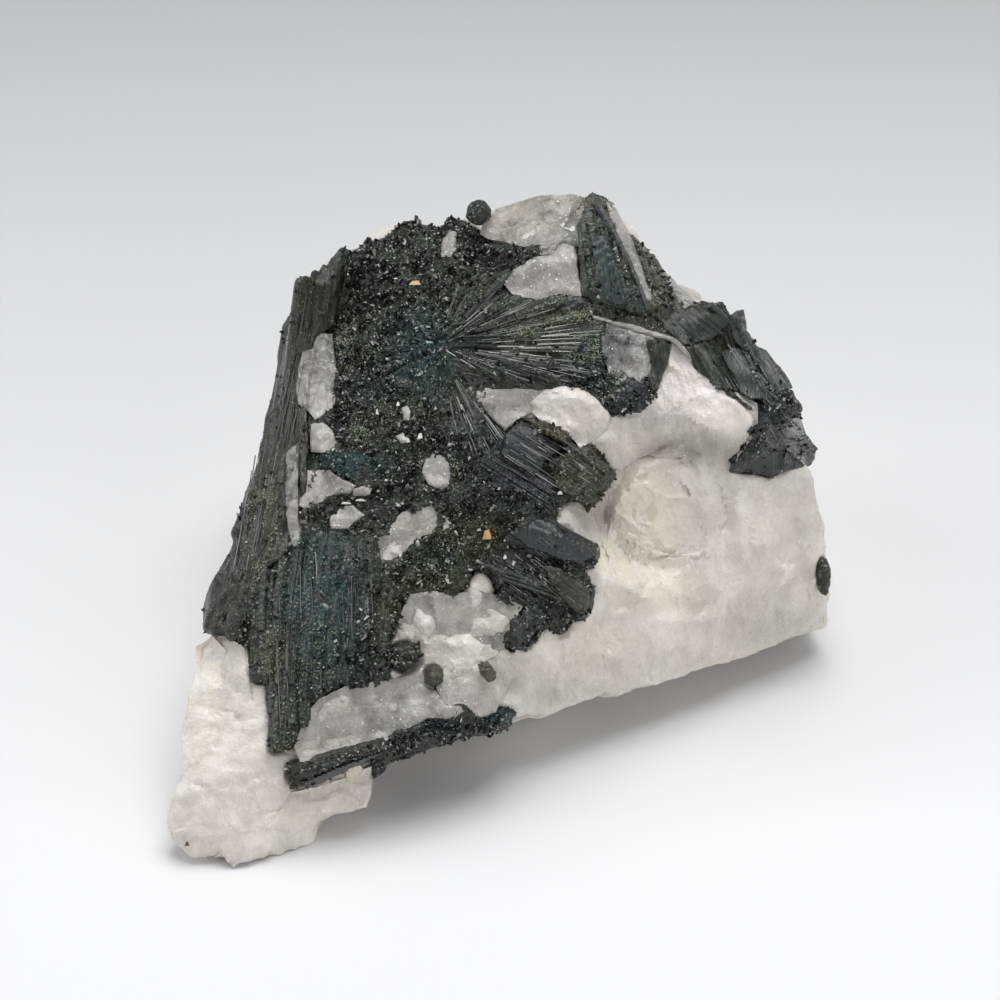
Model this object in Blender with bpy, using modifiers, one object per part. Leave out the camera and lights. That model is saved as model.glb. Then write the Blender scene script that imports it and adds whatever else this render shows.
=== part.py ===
"""Dark green tourmaline crystals in a milky quartz matrix: one hand-sized rock that rests on its broken base.

The rock is a wedge. Its long main face leans back from a low quartz foot in front to a ridge at the back, and its
white right face turns away to the right. Crystals lie in beds that are sunk into the quartz: long parallel columns
down the left flank, a spray of needles in the middle of the main face, and thick prisms on the right shoulder.

Shapes seen from the front are drawn on a square sheet, 1000 units wide, that stands in the middle of the rock and
faces a sight point in front of it. A point of the sheet is carried to the rock along its line from the sight point.
"""

import math
import random

import bmesh
import bpy
from mathutils import Matrix, Vector, noise
from mathutils.bvhtree import BVHTree

MM = 0.001

# The drawing sheet: its scale is what sets the size of the whole rock.
SHEET_UNIT = 0.15 * MM
SHEET_HALF = 500
SHEET_MIDDLE = Vector((-1.8, -1.6, 30.0)) * MM
SIGHT_ELEVATION = math.radians(38)
SIGHT_DISTANCE = 360 * MM

# Fits and depths
GAP = 0.35 * MM
BED_DEPTH = 8 * MM
BED_HEADROOM = 12 * MM
FLOOR_SHARE = 3
WINDOW_SHARE = 1.6
FLANK_EDGE = (293, 289)
FLANK_LEAN = 0.261
FLANK_WIDTH = 60
FLANK_EXTRA = 11 * MM
SAME_PLANE = math.radians(1)

# The quartz surface: grain of the coarse form, size of the broken facets, and how many faces it keeps.
ROCK_GRAIN = 1.6 * MM
FACET_SIZE = 12 * MM
FACET_RELIEF = 1.5 * MM
PIT_SIZE = 4 * MM
PIT_RELIEF = 0.35 * MM
ROCK_FACES = 1750

# Plain colours of the two minerals
QUARTZ_COLOUR = (0.72, 0.68, 0.62, 1)
QUARTZ_ROUGHNESS = 0.45
TOURMALINE_COLOUR = (0.02, 0.035, 0.03, 1)
TOURMALINE_ROUGHNESS = 0.25

SHEET_RIGHT = Vector((1, 0, 0))
SHEET_UP = Vector((0, math.sin(SIGHT_ELEVATION), math.cos(SIGHT_ELEVATION)))
SIGHT_POINT = SHEET_MIDDLE + SIGHT_DISTANCE * Vector((0, -math.cos(SIGHT_ELEVATION), math.sin(SIGHT_ELEVATION)))

# Two points on the long main face give its slope from the front to the back.
FACE_FOOT = Vector((0, -33, 14)) * MM
FACE_TOP = Vector((0, 27, 66)) * MM
FACE_NORMAL = Vector((1, 0, 0)).cross(FACE_TOP - FACE_FOOT).normalized()


def sight(across, down):
    """The direction from the sight point through a point of the sheet."""
    on_sheet = (
        SHEET_MIDDLE
        + SHEET_RIGHT * (across - SHEET_HALF) * SHEET_UNIT
        + SHEET_UP * (SHEET_HALF - down) * SHEET_UNIT
    )
    return on_sheet - SIGHT_POINT


def at_height(across, down, height_mm):
    """The point behind a point of the sheet that is this high above the ground."""
    ray = sight(across, down)
    return SIGHT_POINT + ray * ((height_mm * MM - SIGHT_POINT.z) / ray.z)


def on_plane(across, down, point, normal):
    """The point behind a point of the sheet that lies on this plane."""
    ray = sight(across, down)
    return SIGHT_POINT + ray * ((point - SIGHT_POINT).dot(normal) / ray.dot(normal))


def on_face(across, down, rise_mm=0.0):
    """The point of the main face behind a point of the sheet, raised square to the face."""
    return on_plane(across, down, FACE_FOOT + FACE_NORMAL * rise_mm * MM, FACE_NORMAL)


# Rough lumps that the rock is made of. Seen points are (across, down, height in mm); hidden ones are x, y, z in mm.
CORE_SEEN = (
    (292, 288, 45), (340, 262, 50), (385, 242, 54), (412, 226, 57), (470, 222, 60), (520, 202, 63),
    (575, 191, 66), (602, 200, 66), (624, 238, 62), (640, 252, 60), (697, 302, 52), (262, 410, 38),
    (236, 512, 31), (206, 622, 23), (232, 660, 20), (285, 750, 14), (400, 764, 12), (500, 727, 13),
    (590, 545, 32), (700, 472, 38), (755, 440, 39), (800, 420, 38),
)
CORE_HIDDEN = (
    (-36, -14, -1.5), (-35, 18, -1.5), (-25, 42, -1.5), (-24, 36, 34), (8, 49, -1.5), (20, 42, 44),
    (34, 43, -1.5), (46, 24, -1.5), (8, -12, -1.5), (38, 34, 34), (-34, 24, 26),
)
FOOT_SEEN = (
    (198, 636, 21), (184, 690, 17), (176, 760, 11), (156, 815, 7), (160, 842, 3), (184, 864, 1),
    (222, 870, 0), (256, 852, 0), (296, 847, 2), (342, 827, 4), (378, 806, 6), (384, 772, 10),
    (374, 738, 13), (300, 735, 16), (245, 640, 21),
)
FOOT_HIDDEN = ((-38, -30, 0), (-22, -20, 2), (-36, -46, -1), (-30, -46, -1))
SLAB_SEEN = (
    (500, 723, 11), (600, 704, 9), (680, 681, 8), (740, 660, 7), (800, 644, 6), (829, 630, 5),
    (832, 578, 16), (822, 502, 27), (808, 468, 32), (758, 446, 37), (700, 470, 38), (640, 492, 36),
    (590, 540, 33), (520, 640, 23), (500, 690, 16),
)
SLAB_HIDDEN = ((12, 0, 0), (32, 2, 0), (46, 16, 0), (40, 34, 2), (44, 30, 24), (10, 20, 10))
LEDGE_SEEN = (
    (690, 364, 49), (735, 394, 47), (758, 409, 45), (757, 427, 43), (742, 452, 39), (700, 470, 38),
    (640, 480, 37), (612, 466, 38), (604, 430, 42), (640, 385, 47), (672, 338, 51),
)
LEDGE_HIDDEN = ((16, 6, 30), (34, 10, 30))
LUMPS = (
    (CORE_SEEN, CORE_HIDDEN),
    (FOOT_SEEN, FOOT_HIDDEN),
    (SLAB_SEEN, SLAB_HIDDEN),
    (LEDGE_SEEN, LEDGE_HIDDEN),
)

# Scoops broken out of the rock: the middle on the sheet, its height, and the three half sizes in mm
SCOOPS = (
    ((664, 508, 32), (9, 7, 8)),
    ((612, 560, 24), (6, 5, 7)),
    ((338, 424, 47), (3, 5, 3)),
    ((392, 540, 37), (4, 4, 4)),
    ((560, 345, 56), (9, 6, 4)),
)


def collection(name):
    made = bpy.data.collections.new(name)
    bpy.context.scene.collection.children.link(made)
    return made


def new_object(name, mesh, home):
    made = bpy.data.objects.new(name, mesh)
    home.objects.link(made)
    return made


def mesh_from(name, shape):
    """A bmesh made into a mesh, and freed."""
    mesh = bpy.data.meshes.new(name)
    shape.to_mesh(mesh)
    shape.free()
    return mesh


def hull(name, points, home):
    """The tightest convex solid round some points."""
    shape = bmesh.new()
    for point in points:
        shape.verts.new(point)
    found = bmesh.ops.convex_hull(shape, input=shape.verts)
    loose = {item for item in found["geom_interior"] if isinstance(item, bmesh.types.BMVert)}
    bmesh.ops.delete(shape, geom=list(loose), context="VERTS")
    return new_object(name, mesh_from(name, shape), home)


def baked(item):
    """The object's mesh with its modifiers applied, and the modifiers gone."""
    bpy.context.view_layer.update()
    graph = bpy.context.evaluated_depsgraph_get()
    item.data = bpy.data.meshes.new_from_object(item.evaluated_get(graph))
    item.modifiers.clear()
    return item


def boolean(item, others, operation, solver="EXACT"):
    """The item joined with, cut by, or kept inside each of the others."""
    for other in others:
        step = item.modifiers.new(operation.lower(), "BOOLEAN")
        step.operation = operation
        step.solver = solver
        step.object = other
    return baked(item)


def facet_shift(point):
    """How far a broken facet of the quartz stands out at a point: each cell of the rock is tilted its own way."""
    place = point / FACET_SIZE
    cell = noise.voronoi(place)[1][0]
    tilt = noise.cell_vector(cell * 7.3) - Vector((0.5, 0.5, 0.5))
    return 2 * FACET_RELIEF * (place - cell).dot(tilt) + PIT_RELIEF * noise.noise(point / PIT_SIZE)


def scoop(name, middle, half_sizes, home):
    """A squashed ball that a broken hollow of the rock is cut with."""
    shape = bmesh.new()
    bmesh.ops.create_icosphere(shape, subdivisions=3, radius=1)
    shape.transform(Matrix.Diagonal((*(size * MM for size in half_sizes), 1)))
    shape.transform(Matrix.Translation(at_height(*middle)))
    return new_object(name, mesh_from(name, shape), home)


def rock_body(home):
    """The whole rock: its lumps joined, made even, broken into facets and cut flat underneath."""
    lumps = []
    for number, (seen, hidden) in enumerate(LUMPS):
        points = [at_height(*point) for point in seen] + [Vector(point) * MM for point in hidden]
        lumps.append(hull(f"rock_lump_{number}", points, home))
    body = boolean(lumps[0], lumps[1:], "UNION")
    hollows = [scoop(f"scoop_{number}", *sizes, home) for number, sizes in enumerate(SCOOPS)]
    boolean(body, hollows, "DIFFERENCE")
    grain = body.modifiers.new("grain", "REMESH")
    grain.mode = "VOXEL"
    grain.voxel_size = ROCK_GRAIN
    baked(body)
    for vertex in body.data.vertices:
        vertex.co += vertex.normal * facet_shift(vertex.co)
    fewer = body.modifiers.new("fewer", "DECIMATE")
    fewer.ratio = ROCK_FACES / (2 * len(body.data.polygons))
    baked(body)
    shape = bmesh.new()
    shape.from_mesh(body.data)
    everything = shape.verts[:] + shape.edges[:] + shape.faces[:]
    cut = bmesh.ops.bisect_plane(shape, geom=everything, plane_co=(0, 0, 0), plane_no=(0, 0, -1), clear_outer=True)
    rim = [item for item in cut["geom_cut"] if isinstance(item, bmesh.types.BMEdge)]
    bmesh.ops.holes_fill(shape, edges=rim)
    shape.to_mesh(body.data)
    shape.free()
    return body


def rock_tree(item):
    shape = bmesh.new()
    shape.from_mesh(item.data)
    tree = BVHTree.FromBMesh(shape)
    shape.free()
    return tree


def reach(across, down):
    """How far the rock is from the sight point behind a point of the sheet, or beside it past the outline."""
    ray = sight(across, down).normalized()
    found = TREE.ray_cast(SIGHT_POINT, ray)
    if found[0] is not None:
        return found[3]
    beside = TREE.find_nearest(on_face(across, down))[0]
    return (beside - SIGHT_POINT).dot(ray)


def on_rock(across, down, rise_mm=0.0):
    """The point of the rock behind a point of the sheet, raised square to the main face."""
    ray = sight(across, down).normalized()
    return SIGHT_POINT + ray * reach(across, down) + FACE_NORMAL * rise_mm * MM


def grown_outline(outline, grow):
    """The outline moved outwards by this many sheet units, corner by corner."""
    turning = sum(a[0] * b[1] - b[0] * a[1] for a, b in zip(outline, outline[1:] + outline[:1]))
    side = 1 if turning > 0 else -1
    moved = []
    for before, here, after in zip(outline[-1:] + outline[:-1], outline, outline[1:] + outline[:1]):
        first = Vector((here[1] - before[1], before[0] - here[0])).normalized()
        second = Vector((after[1] - here[1], here[0] - after[0])).normalized()
        corner = first + second
        corner = corner / max(corner.dot(first), 0.5)
        moved.append((here[0] + side * grow * corner.x, here[1] + side * grow * corner.y))
    return moved


def floor_depth(across, down):
    """How far a bed reaches under the main face: deeper along the left flank, where the rock falls away."""
    inside = across - FLANK_EDGE[0] + FLANK_LEAN * (down - FLANK_EDGE[1])
    return BED_DEPTH + FLANK_EXTRA * min(max(1 - inside / FLANK_WIDTH, 0), 1)


def sight_prism(name, outline, home, share=1.0, grow=0.0):
    """A solid whose sides run along the lines of sight through an outline, from above the rock to inside it."""
    ranges = [(on_face(*point) - SIGHT_POINT).length for point in outline]
    floors = [floor_depth(*point) for point in outline]
    shape = bmesh.new()
    near = [
        shape.verts.new(SIGHT_POINT + sight(*point).normalized() * (far - share * BED_HEADROOM))
        for point, far in zip(outline, ranges)
    ]
    cap = shape.faces.new(near)
    made = bmesh.ops.extrude_face_region(shape, geom=[cap])
    pushed = [item for item in made["geom"] if isinstance(item, bmesh.types.BMVert)]
    for vertex in pushed:
        vertex.co += (vertex.co - SIGHT_POINT).normalized() * BED_DEPTH
    bmesh.ops.triangulate(shape, faces=shape.faces[:])
    wider = grown_outline(outline, grow / SHEET_UNIT)
    for index, vertex in enumerate(shape.verts):
        corner = index % len(outline)
        far = ranges[corner] - share * BED_HEADROOM
        if index >= len(outline):
            far = ranges[corner] + share * floors[corner] + FLOOR_SHARE * grow
        vertex.co = SIGHT_POINT + sight(*wider[corner]).normalized() * far
    bmesh.ops.recalc_face_normals(shape, faces=shape.faces[:])
    return new_object(name, mesh_from(name, shape), home)


def crystal(name, start, end, width, depth, home, outward=FACE_NORMAL, sides=9, tip=1.0, ridge=0.1, grow=0.0):
    """A ridged prism from start to end, with its depth along the outward direction."""
    along = end - start
    dice = random.Random(name)
    shape = bmesh.new()
    bmesh.ops.create_cone(shape, cap_ends=True, segments=sides, radius1=1, radius2=tip, depth=1)
    turn = Matrix.Rotation(dice.uniform(0, math.tau / sides), 3, "Z")
    grooves = [1 - ridge * dice.random() for _ in range(sides)]
    for index, vertex in enumerate(shape.verts):
        place = (turn @ vertex.co) * 1.0
        groove = grooves[index // 2 % sides]
        radial = Vector((place.x * (width / 2 * groove + grow), place.y * (depth / 2 * groove + grow)))
        slant = dice.uniform(-0.06, 0.06) * width
        vertex.co = Vector((radial.x, radial.y, place.z * (along.length + 2 * grow) + slant))
    upright = along.normalized()
    sideways = upright.cross(outward).normalized()
    lifted = upright.cross(sideways).normalized()
    basis = Matrix((sideways, lifted, upright)).transposed().to_4x4()
    basis.translation = (start + end) / 2
    shape.transform(basis)
    bmesh.ops.recalc_face_normals(shape, faces=shape.faces[:])
    return new_object(name, mesh_from(name, shape), home)


def lump(name, across, down, width, height, home, rise_mm=0.0, depth=None, rough=0.12, grow=0.0):
    """A small blocky crystal seen end on: a faceted ball squashed to its size on the sheet."""
    dice = random.Random(across * down)
    shape = bmesh.new()
    bmesh.ops.create_icosphere(shape, subdivisions=2, radius=1)
    size = Vector((width, height, depth or min(width, height))) * SHEET_UNIT / 2
    for vertex in shape.verts:
        push = 1 + dice.uniform(-rough, rough)
        vertex.co = Vector([part * length * push for part, length in zip(vertex.co, size)])
        vertex.co += vertex.co.normalized() * grow
    facing = (SIGHT_POINT - SHEET_MIDDLE).normalized()
    basis = Matrix((SHEET_RIGHT, SHEET_UP, facing)).transposed().to_4x4()
    basis.translation = on_rock(across, down, rise_mm)
    shape.transform(basis)
    return new_object(name, mesh_from(name, shape), home)


def group_of(name, members, home):
    """A collection of solids that one Boolean takes together."""
    made = bpy.data.collections.new(name)
    home.children.link(made)
    for member in members:
        home.objects.unlink(member)
        made.objects.link(member)
    return made


def boolean_group(item, group, operation):
    step = item.modifiers.new(operation.lower(), "BOOLEAN")
    step.operation = operation
    step.operand_type = "COLLECTION"
    step.collection = group
    return baked(item)


def plainer(item):
    """Faces that lie in one plane made one again, so that the cuts leave no needless triangles."""
    step = item.modifiers.new("plainer", "DECIMATE")
    step.decimate_type = "DISSOLVE"
    step.angle_limit = SAME_PLANE
    return baked(item)


def only_largest(item):
    """Drops the chips that the cuts leave beside a solid."""
    shape = bmesh.new()
    shape.from_mesh(item.data)
    left = set(shape.faces)
    pieces = []
    while left:
        stack = [left.pop()]
        piece = set(stack)
        while stack:
            for edge in stack.pop().edges:
                for face in edge.link_faces:
                    if face in left:
                        left.remove(face)
                        piece.add(face)
                        stack.append(face)
        pieces.append(piece)
    keep = max(pieces, key=lambda piece: sum(face.calc_area() for face in piece))
    drop = [face for face in shape.faces if face not in keep]
    bmesh.ops.delete(shape, geom=drop, context="FACES")
    shape.to_mesh(item.data)
    shape.free()
    return item


parts = collection("green_tourmaline_in_matrix")
cutters = collection("cutters")
cutters.hide_render = True
for startup in list(bpy.data.objects):
    if startup.name not in parts.objects and startup.name not in cutters.objects:
        bpy.data.objects.remove(startup, do_unlink=True)

rock = rock_body(cutters)
TREE = rock_tree(rock)

# Outlines on the sheet. The main growth runs past the rock's outline on the left, where it wraps round the flank.
MAIN_OUTLINE = [
    (272, 272), (326, 250), (365, 226), (398, 210), (427, 212), (448, 218), (462, 224), (476, 232), (492, 246),
    (507, 247), (516, 251), (535, 246), (548, 247), (533, 257), (512, 270), (502, 282), (504, 290), (512, 295),
    (537, 300), (560, 298), (582, 298), (594, 308), (604, 322), (606, 345), (601, 374), (618, 371), (636, 384),
    (652, 378), (656, 396), (642, 410), (616, 412), (596, 410), (588, 398), (575, 388), (557, 391), (502, 388),
    (490, 392), (467, 388), (480, 404), (504, 430), (518, 421), (531, 426), (540, 419), (569, 434), (566, 447),
    (591, 447), (614, 474), (594, 503), (572, 498), (560, 503), (552, 518), (566, 534), (588, 544), (597, 555),
    (588, 564), (580, 567), (591, 590), (590, 607), (580, 618), (572, 614), (562, 631), (546, 624), (530, 643),
    (512, 648), (506, 640), (514, 618), (520, 603), (508, 594), (494, 577), (479, 565), (470, 570), (466, 584),
    (450, 599), (432, 597), (412, 592), (403, 600), (398, 615), (389, 640), (387, 682), (378, 689), (340, 684),
    (320, 696), (304, 713), (295, 740), (279, 751), (272, 751), (272, 682), (252, 680), (252, 646), (246, 642),
    (243, 611), (236, 606), (224, 615), (204, 631), (184, 642), (190, 590), (212, 530), (236, 440), (250, 380),
    (260, 320),
]
# Quartz that shows between the crystals of the main growth
QUARTZ_WINDOWS = (
    [(317, 339), (330, 333), (334, 346), (336, 374), (332, 386), (334, 406), (311, 422), (304, 416), (302, 405),
     (296, 402), (297, 378), (304, 354)],
    [(313, 430), (322, 422), (330, 426), (340, 443), (329, 452), (312, 453)],
    [(297, 438), (287, 450), (285, 483), (286, 542), (299, 549), (302, 524), (296, 512), (312, 500), (330, 492),
     (356, 484), (350, 476), (330, 468), (314, 468), (306, 488), (297, 492)],
    [(329, 525), (332, 514), (353, 500), (364, 515), (351, 521), (336, 528)],
    [(424, 458), (436, 454), (451, 464), (450, 480), (436, 490), (423, 482)],
    [(430, 495), (427, 505), (414, 511), (402, 508), (395, 522), (392, 536), (378, 536), (371, 538), (374, 554),
     (384, 566), (402, 558), (416, 544), (434, 533), (440, 524)],
)
APEX_OUTLINE = [
    (580, 246), (584, 232), (576, 212), (592, 196), (604, 196), (625, 236), (643, 242), (657, 247), (672, 272),
    (684, 306), (662, 319), (648, 312), (629, 313), (604, 302), (584, 295),
]
FLANK_OUTLINE = [
    (662, 326), (686, 308), (702, 303), (720, 308), (735, 314), (752, 322), (772, 346), (796, 380),
    (816, 410), (824, 470), (806, 466), (794, 467), (769, 474), (752, 470), (730, 471), (745, 452), (759, 426),
    (760, 408), (743, 396), (718, 388), (695, 369), (678, 338),
]
BAND_OUTLINE = [
    (382, 746), (396, 733), (429, 722), (445, 707), (462, 704), (483, 720), (500, 709), (511, 712), (508, 724),
    (494, 738), (462, 750), (418, 764), (396, 782), (378, 790), (374, 762),
]

# Columns of the left flank: where the bundle's left and right edges are at four heights on the sheet
COLUMN_STATIONS = (
    ((296, 290), (346, 262)),
    ((271, 390), (299, 380)),
    ((243, 500), (284, 492)),
    ((207, 622), (248, 628)),
)
COLUMN_COUNT = 6
COLUMN_WIDTH = 1.7 * MM
COLUMN_DEPTH = 2.8 * MM
COLUMN_RISE = (0.1, 0.9)

# Upright blocks at the lower left: the top and the bottom of each on the sheet
BLOCK_ENDS = (
    ((254, 592), (257, 642)), ((267, 574), (266, 678)), ((281, 556), (278, 748)), ((296, 546), (290, 742)),
    ((311, 542), (302, 726)), ((326, 538), (317, 696)), ((341, 532), (332, 688)), ((356, 524), (347, 684)),
    ((371, 540), (362, 686)), ((385, 574), (376, 684)),
)
BLOCK_WIDTH = 2.4 * MM
BLOCK_DEPTH = 3.6 * MM
BLOCK_RISE = (-0.8, 0.3)

# Needles of the spray: they leave one centre and end at these points
SPRAY_CENTRE = (438, 346)
SPRAY_START = 0.1
SPRAY_ENDS = (
    (488, 282), (500, 272), (515, 271), (498, 296), (520, 300), (560, 305), (588, 318), (540, 338),
    (559, 352), (559, 366), (559, 382), (500, 382), (492, 408), (512, 434), (534, 458), (520, 470),
    (500, 458), (484, 452), (466, 446), (430, 424), (384, 372), (400, 310), (448, 284),
)
NEEDLE_WIDTH = 1.5 * MM
NEEDLE_DEPTH = 3.0 * MM
NEEDLE_RISE = (0.3, 1.0)

# Single thick crystals: start, end, width and how far the axis stands above the rock, both in mm
THICK_CRYSTALS = (
    ((508, 434), (560, 462), 4.6, 0.2),
    ((538, 430), (569, 442), 3.8, 0.8),
    ((556, 458), (600, 492), 6.6, 0.2),
    ((486, 462), (560, 500), 3.8, 0.4),
    ((530, 492), (553, 513), 3.0, 0.0),
    ((508, 538), (594, 556), 3.4, 0.6),
    ((520, 552), (586, 562), 1.8, 0.2),
    ((498, 574), (588, 600), 4.6, 0.2),
    ((502, 588), (564, 620), 4.4, 0.3),
    ((536, 606), (514, 642), 3.6, 0.4),
)

# Prisms of the apex and of the right shoulder: start, end, width and rise in mm
APEX_CRYSTALS = (
    ((590, 212), (598, 300), 2.6, 0.4), ((600, 206), (612, 302), 2.6, 0.8), ((609, 220), (626, 308), 2.6, 0.6),
    ((630, 250), (648, 308), 2.6, 0.6), ((646, 256), (662, 312), 3.2, 0.6), ((658, 262), (676, 304), 2.6, 0.2),
)
FLANK_CRYSTALS = (
    ((668, 322), (700, 360), 4.6, 0.6), ((684, 312), (722, 384), 5.4, 0.9), ((706, 312), (752, 398), 6.2, 1.2),
    ((730, 318), (776, 400), 5.6, 0.9), ((752, 340), (796, 412), 4.8, 0.6), ((742, 440), (800, 446), 6.8, 0.0),
)
BAND_LATH = ((291, 776), (386, 748), 3.4, 1.0)
SINGLE_CRYSTALS = (
    ("small_crystal_left", (404, 657, 32, 30), 0.2),
    ("small_crystal_middle", (434, 676, 21, 20), 0.2),
    ("small_crystal_right", (487, 672, 18, 17), 0.2),
    ("top_bead_crystal", (479, 213, 27, 26), 0.0),
    ("edge_crystal", (827, 575, 15, 44), 0.0),
)


def between(first, second, share):
    return tuple(a + (b - a) * share for a, b in zip(first, second))


def column_segments():
    """The ends of every piece of the left columns: each column breaks a little off the stations."""
    dice = random.Random("columns")
    for number in range(COLUMN_COUNT):
        share = (number + 0.5) / COLUMN_COUNT
        stops = [between(left, right, share) for left, right in COLUMN_STATIONS]
        for start, end in zip(stops, stops[1:]):
            yield between(start, end, -0.08 + dice.uniform(0, 0.06)), between(start, end, 1.02 + dice.uniform(0, 0.1))


def main_crystals(grow, home):
    """Every crystal of the main growth, larger by the given distance."""
    made = []
    dice = random.Random("main growth")
    for number, (start, end) in enumerate(column_segments()):
        rise = dice.uniform(*COLUMN_RISE)
        made.append(crystal(f"column_{number}", on_rock(*start, rise), on_rock(*end, rise), COLUMN_WIDTH,
                            COLUMN_DEPTH, home, sides=5, grow=grow))
    for number, (start, end) in enumerate(BLOCK_ENDS):
        rise = dice.uniform(*BLOCK_RISE)
        made.append(crystal(f"block_{number}", on_rock(*start, rise), on_rock(*end, rise), BLOCK_WIDTH,
                            BLOCK_DEPTH, home, sides=5, grow=grow))
    for number, end in enumerate(SPRAY_ENDS):
        start = between(SPRAY_CENTRE, end, SPRAY_START)
        rise = dice.uniform(*NEEDLE_RISE)
        made.append(crystal(f"needle_{number}", on_rock(*start, rise), on_rock(*end, rise), NEEDLE_WIDTH,
                            NEEDLE_DEPTH, home, sides=4, tip=0.8, grow=grow))
    for number, (start, end, width, rise) in enumerate(THICK_CRYSTALS):
        made.append(crystal(f"prism_{number}", on_rock(*start, rise - width / 4), on_rock(*end, rise - width / 4),
                            width * MM, width * MM, home, sides=7, grow=grow))
    return made


def bed(name, outline, windows, home, swell):
    """The part of the swollen rock behind an outline, without its windows."""
    block = sight_prism(f"{name}_block", outline, home)
    for number, window in enumerate(windows):
        block = boolean(block, [sight_prism(f"{name}_window_{number}", window, home, WINDOW_SHARE)], "DIFFERENCE")
    skin = swell.copy()
    skin.data = swell.data.copy()
    skin.name = name
    home.objects.link(skin)
    return boolean(skin, [block], "INTERSECT")


def bed_cutter(name, outline, windows, home):
    """The bed's block, larger by the gap, with its windows smaller by the gap."""
    block = sight_prism(f"{name}_cut", outline, home, grow=GAP)
    for number, window in enumerate(windows):
        hole = sight_prism(f"{name}_hole_{number}", window, home, WINDOW_SHARE, -GAP)
        block = boolean(block, [hole], "DIFFERENCE")
    return block


def swollen(item, home):
    """A copy of the rock with a lumpy skin, for the druse."""
    made = item.copy()
    made.data = item.data.copy()
    made.name = "swollen_rock"
    home.objects.link(made)
    for vertex in made.data.vertices:
        lumps = noise.noise(vertex.co / (3.1 * MM)) + 0.5 * noise.noise(vertex.co / (1.7 * MM))
        vertex.co += vertex.normal * (0.7 + 0.7 * lumps) * MM
    return made


def row_of(name, rows, grow, home, outward=FACE_NORMAL, sides=7):
    return [
        crystal(f"{name}_{number}", on_rock(*start, rise - width / 4), on_rock(*end, rise - width / 4), width * MM,
                width * MM, home, outward, sides, grow=grow)
        for number, (start, end, width, rise) in enumerate(rows)
    ]


def material_of(name):
    """A plain material for one solid: milky quartz for the body, dark tourmaline for the rest."""
    made = bpy.data.materials.new(name)
    made.use_nodes = True
    shader = made.node_tree.nodes["Principled BSDF"]
    is_quartz = name == "quartz_matrix"
    shader.inputs["Base Color"].default_value = QUARTZ_COLOUR if is_quartz else TOURMALINE_COLOUR
    shader.inputs["Roughness"].default_value = QUARTZ_ROUGHNESS if is_quartz else TOURMALINE_ROUGHNESS
    return made


skin = swollen(rock, cutters)
growths = []
cuts = []
for name, outline, windows, makers in (
    ("main_tourmaline_growth", MAIN_OUTLINE, QUARTZ_WINDOWS, main_crystals),
    ("apex_columns", APEX_OUTLINE, (), lambda grow, home: row_of("apex", APEX_CRYSTALS, grow, home)),
    ("right_flank_crystals", FLANK_OUTLINE, (), lambda grow, home: row_of("flank", FLANK_CRYSTALS, grow, home)),
    ("bottom_crystal_band", BAND_OUTLINE, (), lambda grow, home: row_of("lath", (BAND_LATH,), grow, home)),
):
    solid = bed(name, outline, windows, cutters, skin)
    solid = boolean_group(solid, group_of(f"{name}_crystals", makers(0.0, cutters), cutters), "UNION")
    cut = bed_cutter(name, outline, windows, cutters)
    cut = boolean_group(cut, group_of(f"{name}_cuts", makers(GAP, cutters), cutters), "UNION")
    growths.append(solid)
    cuts.append(cut)
for name, (across, down, width, height), rise in SINGLE_CRYSTALS:
    growths.append(lump(name, across, down, width, height, cutters, rise))
    cuts.append(lump(f"{name}_cut", across, down, width, height, cutters, rise, grow=GAP))

for number, solid in enumerate(growths):
    boolean(solid, cuts[number + 1:], "DIFFERENCE")
    only_largest(plainer(solid))
boolean(rock, cuts, "DIFFERENCE", "MANIFOLD")
only_largest(plainer(rock))
rock.name = "quartz_matrix"
for solid in [rock] + growths:
    cutters.objects.unlink(solid)
    parts.objects.link(solid)
    solid.data.materials.clear()
    solid.data.materials.append(material_of(solid.name))
for helper in cutters.all_objects:
    helper.display_type = "WIRE"
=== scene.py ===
import math
import random

import bmesh
import bpy
import numpy as np
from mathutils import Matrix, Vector, noise
from mathutils.bvhtree import BVHTree


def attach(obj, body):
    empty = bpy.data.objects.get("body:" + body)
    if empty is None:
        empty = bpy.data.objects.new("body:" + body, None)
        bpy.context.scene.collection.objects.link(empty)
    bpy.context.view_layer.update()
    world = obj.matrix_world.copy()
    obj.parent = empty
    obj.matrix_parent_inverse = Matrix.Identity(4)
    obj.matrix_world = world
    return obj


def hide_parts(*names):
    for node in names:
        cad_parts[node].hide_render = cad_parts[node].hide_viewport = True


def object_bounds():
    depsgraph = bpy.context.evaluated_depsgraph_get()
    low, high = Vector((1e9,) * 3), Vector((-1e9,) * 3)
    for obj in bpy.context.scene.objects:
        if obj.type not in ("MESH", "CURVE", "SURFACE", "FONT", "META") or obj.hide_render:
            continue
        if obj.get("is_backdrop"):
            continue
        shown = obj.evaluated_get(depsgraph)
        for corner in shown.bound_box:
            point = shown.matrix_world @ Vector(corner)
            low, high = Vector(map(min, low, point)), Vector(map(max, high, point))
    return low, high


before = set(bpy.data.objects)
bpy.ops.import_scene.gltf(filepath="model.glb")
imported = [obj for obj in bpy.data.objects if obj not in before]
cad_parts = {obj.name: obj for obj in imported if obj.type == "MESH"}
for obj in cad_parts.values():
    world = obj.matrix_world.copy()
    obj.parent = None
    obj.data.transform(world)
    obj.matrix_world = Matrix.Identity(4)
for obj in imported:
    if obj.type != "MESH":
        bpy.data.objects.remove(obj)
cad_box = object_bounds()

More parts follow.
